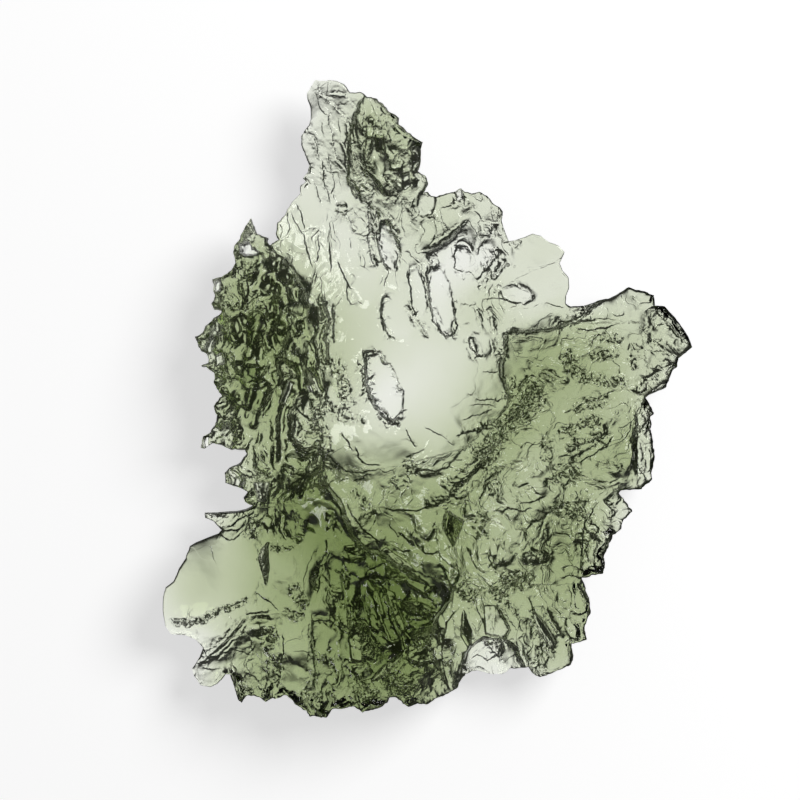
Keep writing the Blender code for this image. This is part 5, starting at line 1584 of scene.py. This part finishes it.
@dataclass
class MoldaviteStone:
    """The stone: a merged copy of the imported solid, refined and shaped into its full relief."""
    finish: GreenGlass
    name: str = "moldavite_glass"
    most_faces: int = 194_000
    level_share: float = 0.02
    merge_gap: float = 1e-6
    least_bend: float = 0.004
    jag_border: float = 12.0
    jag_size: float = 11.0
    jag_reach: float = 1.6

    def build(self) -> bpy.types.Object:
        """Make, refine, shape and dress the stone."""
        self.scale = PictureScale.from_solid()
        self.copy_solid()
        self.mark_sides()
        self.measure_rim()
        self.subdivide(np.ones(len(self.mesh.polygons), bool))
        upper = self.sides() != Side.UNDER.value
        self.subdivide(upper & (self.bend_errors() > self.least_bend))
        self.refine_to_budget()
        self.shape()
        self.dress()
        return self.stone

    def copy_solid(self) -> None:
        """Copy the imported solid's mesh to a new object and merge its loose triangles."""
        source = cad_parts[STONE_NODE]
        self.mesh = source.data.copy()
        self.mesh.name = self.name
        self.stone = bpy.data.objects.new(self.name, self.mesh)
        bpy.context.scene.collection.objects.link(self.stone)
        bpy.ops.object.select_all(action="DESELECT")
        bpy.context.view_layer.objects.active = self.stone
        self.stone.select_set(True)
        bpy.ops.object.mode_set(mode="EDIT")
        bpy.ops.mesh.select_all(action="SELECT")
        bpy.ops.mesh.remove_doubles(threshold=self.merge_gap)
        bpy.ops.mesh.select_all(action="DESELECT")
        bpy.ops.object.mode_set(mode="OBJECT")
        bpy.context.tool_settings.mesh_select_mode = (False, False, True)

    @staticmethod
    def read(rows: bpy.types.bpy_prop_collection, field: str, width: int = 1, kind: type = float) -> Array:
        """Read one field of some rows of a mesh.

        Args:
            rows: The rows, such as the mesh's faces.
            field: The field's name.
            width: How many values the field has in each row.
            kind: What the values are.

        Returns:
            The values, one after the other.
        """
        values = np.empty(len(rows) * width, kind)
        rows.foreach_get(field, values)
        return values

    def mark_sides(self) -> None:
        """Mark each face as upper, under or rim, by its normal."""
        upward = self.read(self.mesh.polygons, "normal", 3).reshape(-1, 3)[:, 2]
        side = np.full(len(upward), Side.RIM.value, np.int32)
        side[upward > self.level_share] = Side.UPPER.value
        side[upward < -self.level_share] = Side.UNDER.value
        marks = self.mesh.attributes.new("side", "INT", "FACE")
        marks.data.foreach_set("value", side)

    def sides(self) -> Array:
        """Read which side each face is on."""
        return self.read(self.mesh.attributes["side"].data, "value", kind=np.int32)

    def points(self) -> Array:
        """Read the mesh's points, in metres."""
        return self.read(self.mesh.vertices, "co", 3).reshape(-1, 3)

    def triangles(self) -> Array:
        """Read the three corners of each face."""
        return self.read(self.mesh.loops, "vertex_index", kind=np.int32).reshape(-1, 3)

    def measure_rim(self) -> None:
        """Find the edges where the upper face meets the rim, and keep them for the relief."""
        sides = self.sides()
        triangles = self.triangles()
        edges = {}
        for side, corners in zip(sides, triangles):
            if side == Side.UNDER.value:
                continue
            for first, second in zip(corners, np.roll(corners, -1)):
                edges.setdefault((min(first, second), max(first, second)), set()).add(side)
        shared = np.array([edge for edge, found in edges.items() if len(found) == 2])
        x, y = self.scale.picture(self.points())
        places = np.column_stack((x, y))
        self.relief = EtchedRelief(self.scale, places[shared[:, 0]], places[shared[:, 1]])
        log.info("rim edges %d", len(shared))

    def select_faces(self, chosen: Array) -> None:
        """Select these faces and nothing else."""
        working = bmesh.new()
        working.from_mesh(self.mesh)
        for vertex in working.verts:
            vertex.select = False
        for edge in working.edges:
            edge.select = False
        for face, wanted in zip(working.faces, chosen):
            face.select_set(bool(wanted))
        working.to_mesh(self.mesh)
        working.free()

    def subdivide(self, chosen: Array) -> None:
        """Cut each chosen face in four, and its neighbours to fit."""
        self.select_faces(chosen)
        bpy.ops.object.mode_set(mode="EDIT")
        bpy.ops.mesh.subdivide(number_cuts=1)
        bpy.ops.mesh.select_all(action="SELECT")
        bpy.ops.mesh.quads_convert_to_tris()
        bpy.ops.mesh.select_all(action="DESELECT")
        bpy.ops.object.mode_set(mode="OBJECT")
        log.info("faces %d", len(self.mesh.polygons))

    def edges_of_faces(self) -> tuple[Array, Array]:
        """Give the mesh's edges as pairs of points, and the three edges of each face."""
        ends = np.sort(np.stack([self.triangles(), np.roll(self.triangles(), -1, axis=1)], axis=2), axis=2)
        edges, numbers = np.unique(ends.reshape(-1, 2), axis=0, return_inverse=True)
        return edges, numbers.reshape(-1, 3)

    def bend_errors(self) -> Array:
        """Measure how far the relief leaves each face, in millimetres, at its edges' middles."""
        points = self.points()
        edges, of_faces = self.edges_of_faces()
        x, y = self.scale.picture(points)
        corners = self.relief.surfaces(x, y).upper
        middle_x = x[edges].mean(axis=1)
        middle_y = y[edges].mean(axis=1)
        wanted = self.relief.surfaces(middle_x, middle_y).upper
        error = np.abs(wanted - corners[edges].mean(axis=1))
        return error[of_faces].max(axis=1)

    def refine_to_budget(self) -> None:
        """Cut the faces that the relief leaves furthest, as many as the face limit allows."""
        errors = self.bend_errors()
        errors[self.sides() != Side.UPPER.value] = 0
        _, of_faces = self.edges_of_faces()
        order = np.argsort(-errors)
        room = self.most_faces - len(errors)
        low = 0
        high = len(order)
        while high - low > 50:
            count = (low + high) // 2
            added = 2 * len(np.unique(of_faces[order[:count]]))
            if added > room:
                high = count
            else:
                low = count
        chosen = np.zeros(len(errors), bool)
        chosen[order[:low]] = True
        log.info("cut %d faces that bend more than %.4f mm", low, errors[order[low - 1]])
        self.subdivide(chosen)

    def shape(self) -> None:
        """Give both faces their heights, the rim its jags and every point its etching."""
        points = self.points()
        x, y = self.scale.picture(points)
        surfaces = self.relief.surfaces(x, y)
        faces = np.zeros((4, len(points)), bool)
        for side in Side:
            faces[side.value, self.triangles()[self.sides() == side.value].ravel()] = True
        height = (surfaces.upper + surfaces.under) / 2
        height[faces[Side.UNDER.value]] = surfaces.under[faces[Side.UNDER.value]]
        height[faces[Side.UPPER.value]] = surfaces.upper[faces[Side.UPPER.value]]
        points[:, 2] = height * MM
        gap, _, _ = nearest_on_runs(x, y, self.relief.rim_starts, self.relief.rim_ends)
        hold = smooth_step(1 - gap / self.jag_border) * self.relief.jags.at(x, y) * self.scale.unit
        for axis, seed in enumerate((2001, 2051)):
            jag = layered_noise(x / self.jag_size, y / self.jag_size, seed, 3, 0.6) * self.jag_reach
            points[:, axis] += hold * jag
        self.mesh.vertices.foreach_set("co", points.ravel())
        upper = faces[Side.UPPER.value]
        for name, values in surfaces.drawn.items():
            if "gap" not in name and name != "flow":
                values = values * upper[:, None]
            kept = self.mesh.attributes.new(name, "FLOAT_VECTOR", "POINT")
            kept.data.foreach_set("vector", np.ascontiguousarray(values, np.float32).ravel())
        self.keep_rim_sharp()
        self.mesh.attributes.remove(self.mesh.attributes["side"])
        self.mesh.update()
        bpy.ops.object.shade_smooth()

    def keep_rim_sharp(self) -> None:
        """Keep the edges round the rim sharp, so that the faces look flat up to them."""
        edge_of_corner = self.read(self.mesh.loops, "edge_index", kind=np.int32)
        side = np.repeat(self.sides(), 3)
        lowest = np.full(len(self.mesh.edges), 9)
        highest = np.zeros(len(self.mesh.edges), int)
        np.minimum.at(lowest, edge_of_corner, side)
        np.maximum.at(highest, edge_of_corner, side)
        sharp = self.mesh.attributes.new("sharp_edge", "BOOLEAN", "EDGE")
        sharp.data.foreach_set("value", lowest != highest)

    def dress(self) -> None:
        """Give the stone its glass and its place in the frame."""
        self.mesh.materials.clear()
        self.mesh.materials.append(self.finish.material())
        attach(self.stone, ROOT_BODY)
        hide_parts(STONE_NODE)
        log.info("%s: %d faces", self.name, len(self.mesh.polygons))


@dataclass
class LightTable:
    """The pale table that the stone lies on, with the lamp that shines up through it.

    Looking straight at it one sees a plain pale sheet. Light that passes through the stone
    comes from the lamp below: bright in the middle, dim round it and paler again far out.
    """
    size: float = 1.6
    sheet_gap: float = 0.00003
    sheet_tone: float = 0.85
    sheet_roughness: float = 0.9
    sheet_glow: float = 0.645
    lamp_depth: float = 0.06
    lamp_radius: float = 0.30
    bright_radius: float = 0.017
    dim_radius: float = 0.037
    dim_glow: float = 0.04
    far_start: float = 0.075
    far_end: float = 0.12
    far_glow: float = 0.35
    mirrored_glow: float = 0.25     # the share of the glow that mirroring faces throw back

    def build(self) -> None:
        """Make the sheet and the lamp."""
        bpy.ops.mesh.primitive_plane_add(size=self.size, location=(0, 0, -self.sheet_gap))
        sheet = bpy.context.object
        sheet.name = "table_sheet"
        sheet.data.materials.append(self.sheet_material())
        bpy.ops.mesh.primitive_circle_add(vertices=96, radius=self.lamp_radius, fill_type="NGON",
                                          location=(0, 0, -self.lamp_depth))
        lamp = bpy.context.object
        lamp.name = "table_lamp"
        lamp.data.materials.append(self.lamp_material())

    def sheet_material(self) -> bpy.types.Material:
        """Make the sheet: matt and pale to the eye, clear to the light from below."""
        made, tree = new_material("pale_sheet")
        matt = tree.nodes["Principled BSDF"]
        set_inputs(tree, matt, {
            "Base Color": (self.sheet_tone,) * 3 + (1,), "Roughness": self.sheet_roughness,
            "Specular IOR Level": 0.0, "Emission Color": WHITE, "Emission Strength": self.sheet_glow})
        path = add_node(tree, "LightPath")
        clear = add_node(tree, "BsdfTransparent")
        mixed = add_node(tree, "MixShader", {
            "Fac": path.outputs["Is Camera Ray"], 1: clear.outputs[0], 2: matt.outputs[0]})
        set_inputs(tree, tree.nodes["Material Output"], {"Surface": mixed.outputs[0]})
        return made

    def lamp_material(self) -> bpy.types.Material:
        """Make the lamp's glow, which changes with the distance from its middle."""
        made, tree = new_material("lamp_glow")
        tree.nodes.remove(tree.nodes["Principled BSDF"])
        distance = vector_sum(tree, "LENGTH", add_node(tree, "TexCoord").outputs["Object"])
        near = ranged(tree, distance, self.bright_radius, self.dim_radius, 1.0, self.dim_glow)
        far = ranged(tree, distance, self.far_start, self.far_end, 0.0, self.far_glow - self.dim_glow)
        path = add_node(tree, "LightPath")
        seen = ranged(tree, path.outputs["Is Transmission Ray"], 0.0, 1.0, self.mirrored_glow, 1.0)
        strength = number_sum(tree, "MULTIPLY", number_sum(tree, "ADD", near, far), seen)
        glow = add_node(tree, "Emission", {"Strength": strength})
        set_inputs(tree, tree.nodes["Material Output"], {"Surface": glow.outputs[0]})
        return made


@dataclass
class Studio:
    """The soft light from above, the pale room and the camera that looks straight down."""
    key_place: tuple[float, float, float] = (0.155, 0.11, 0.20)
    key_size: float = 0.17
    key_power: float = 0.38
    room_seen: float = 0.95
    room_above: float = 0.05
    room_level: float = 0.25
    level_height: float = 0.1
    above_height: float = 0.7
    lens: float = 150.0
    sensor: float = 36.0
    stone_level: float = 0.004
    light_turns: int = 12
    mirror_turns: int = 8
    matt_turns: int = 2

    def build(self, scale: PictureScale) -> None:
        """Place the light, the room and the camera."""
        self.place_key()
        self.paint_room()
        self.place_camera(scale)
        self.set_light_paths()

    def place_key(self) -> None:
        """Hang a round soft light above the stone's upper right."""
        lamp = bpy.data.lights.new("soft_key", "AREA")
        lamp.shape = "DISK"
        lamp.size = self.key_size
        lamp.energy = self.key_power
        key = bpy.data.objects.new("soft_key", lamp)
        bpy.context.scene.collection.objects.link(key)
        key.location = self.key_place
        key.rotation_euler = (-Vector(self.key_place)).to_track_quat("-Z", "Y").to_euler()

    def paint_room(self) -> None:
        """Make the room: white to the eye, dim overhead and paler at eye level for the glass."""
        world = bpy.data.worlds.new("pale_room")
        bpy.context.scene.world = world
        world.use_nodes = True
        tree = world.node_tree
        place = add_node(tree, "TexCoord").outputs["Generated"]
        height = add_node(tree, "SeparateXYZ", {0: place}).outputs["Z"]
        rise = ranged(tree, height, self.level_height, self.above_height, self.room_level, self.room_above)
        looking = add_node(tree, "LightPath").outputs["Is Camera Ray"]
        seen = add_node(tree, "Mix", {"Factor": looking, "A": rise, "B": self.room_seen}, data_type="FLOAT")
        set_inputs(tree, tree.nodes["Background"], {"Color": WHITE, "Strength": seen.outputs["Result"]})

    def place_camera(self, scale: PictureScale) -> None:
        """Hang the camera over the middle of the picture, looking straight down."""
        data = bpy.data.cameras.new("view_from_above")
        data.lens = self.lens
        data.sensor_width = self.sensor
        camera = bpy.data.objects.new("view_from_above", data)
        bpy.context.scene.collection.objects.link(camera)
        middle = scale.metres(PICTURE_MIDDLE, PICTURE_MIDDLE)
        height = PICTURE_WIDTH * scale.unit * self.lens / self.sensor + self.stone_level
        camera.location = (*middle, height)
        bpy.context.scene.camera = camera

    def set_light_paths(self) -> None:
        """Let light pass through many faces of the glass, and keep plain tones."""
        scene = bpy.context.scene
        cycles = scene.cycles
        cycles.max_bounces = self.light_turns
        cycles.transmission_bounces = self.light_turns
        cycles.transparent_max_bounces = self.light_turns
        cycles.glossy_bounces = self.mirror_turns
        cycles.diffuse_bounces = self.matt_turns
        cycles.caustics_reflective = False
        cycles.caustics_refractive = False
        scene.view_settings.view_transform = "Standard"


def main() -> None:
    """Build the stone, the table and the studio."""
    logging.basicConfig(level=logging.INFO, format="%(name)s: %(message)s")
    stone = MoldaviteStone(GreenGlass())
    stone.build()
    LightTable().build()
    Studio().build(stone.scale)


if __name__ == "__main__":
    main()
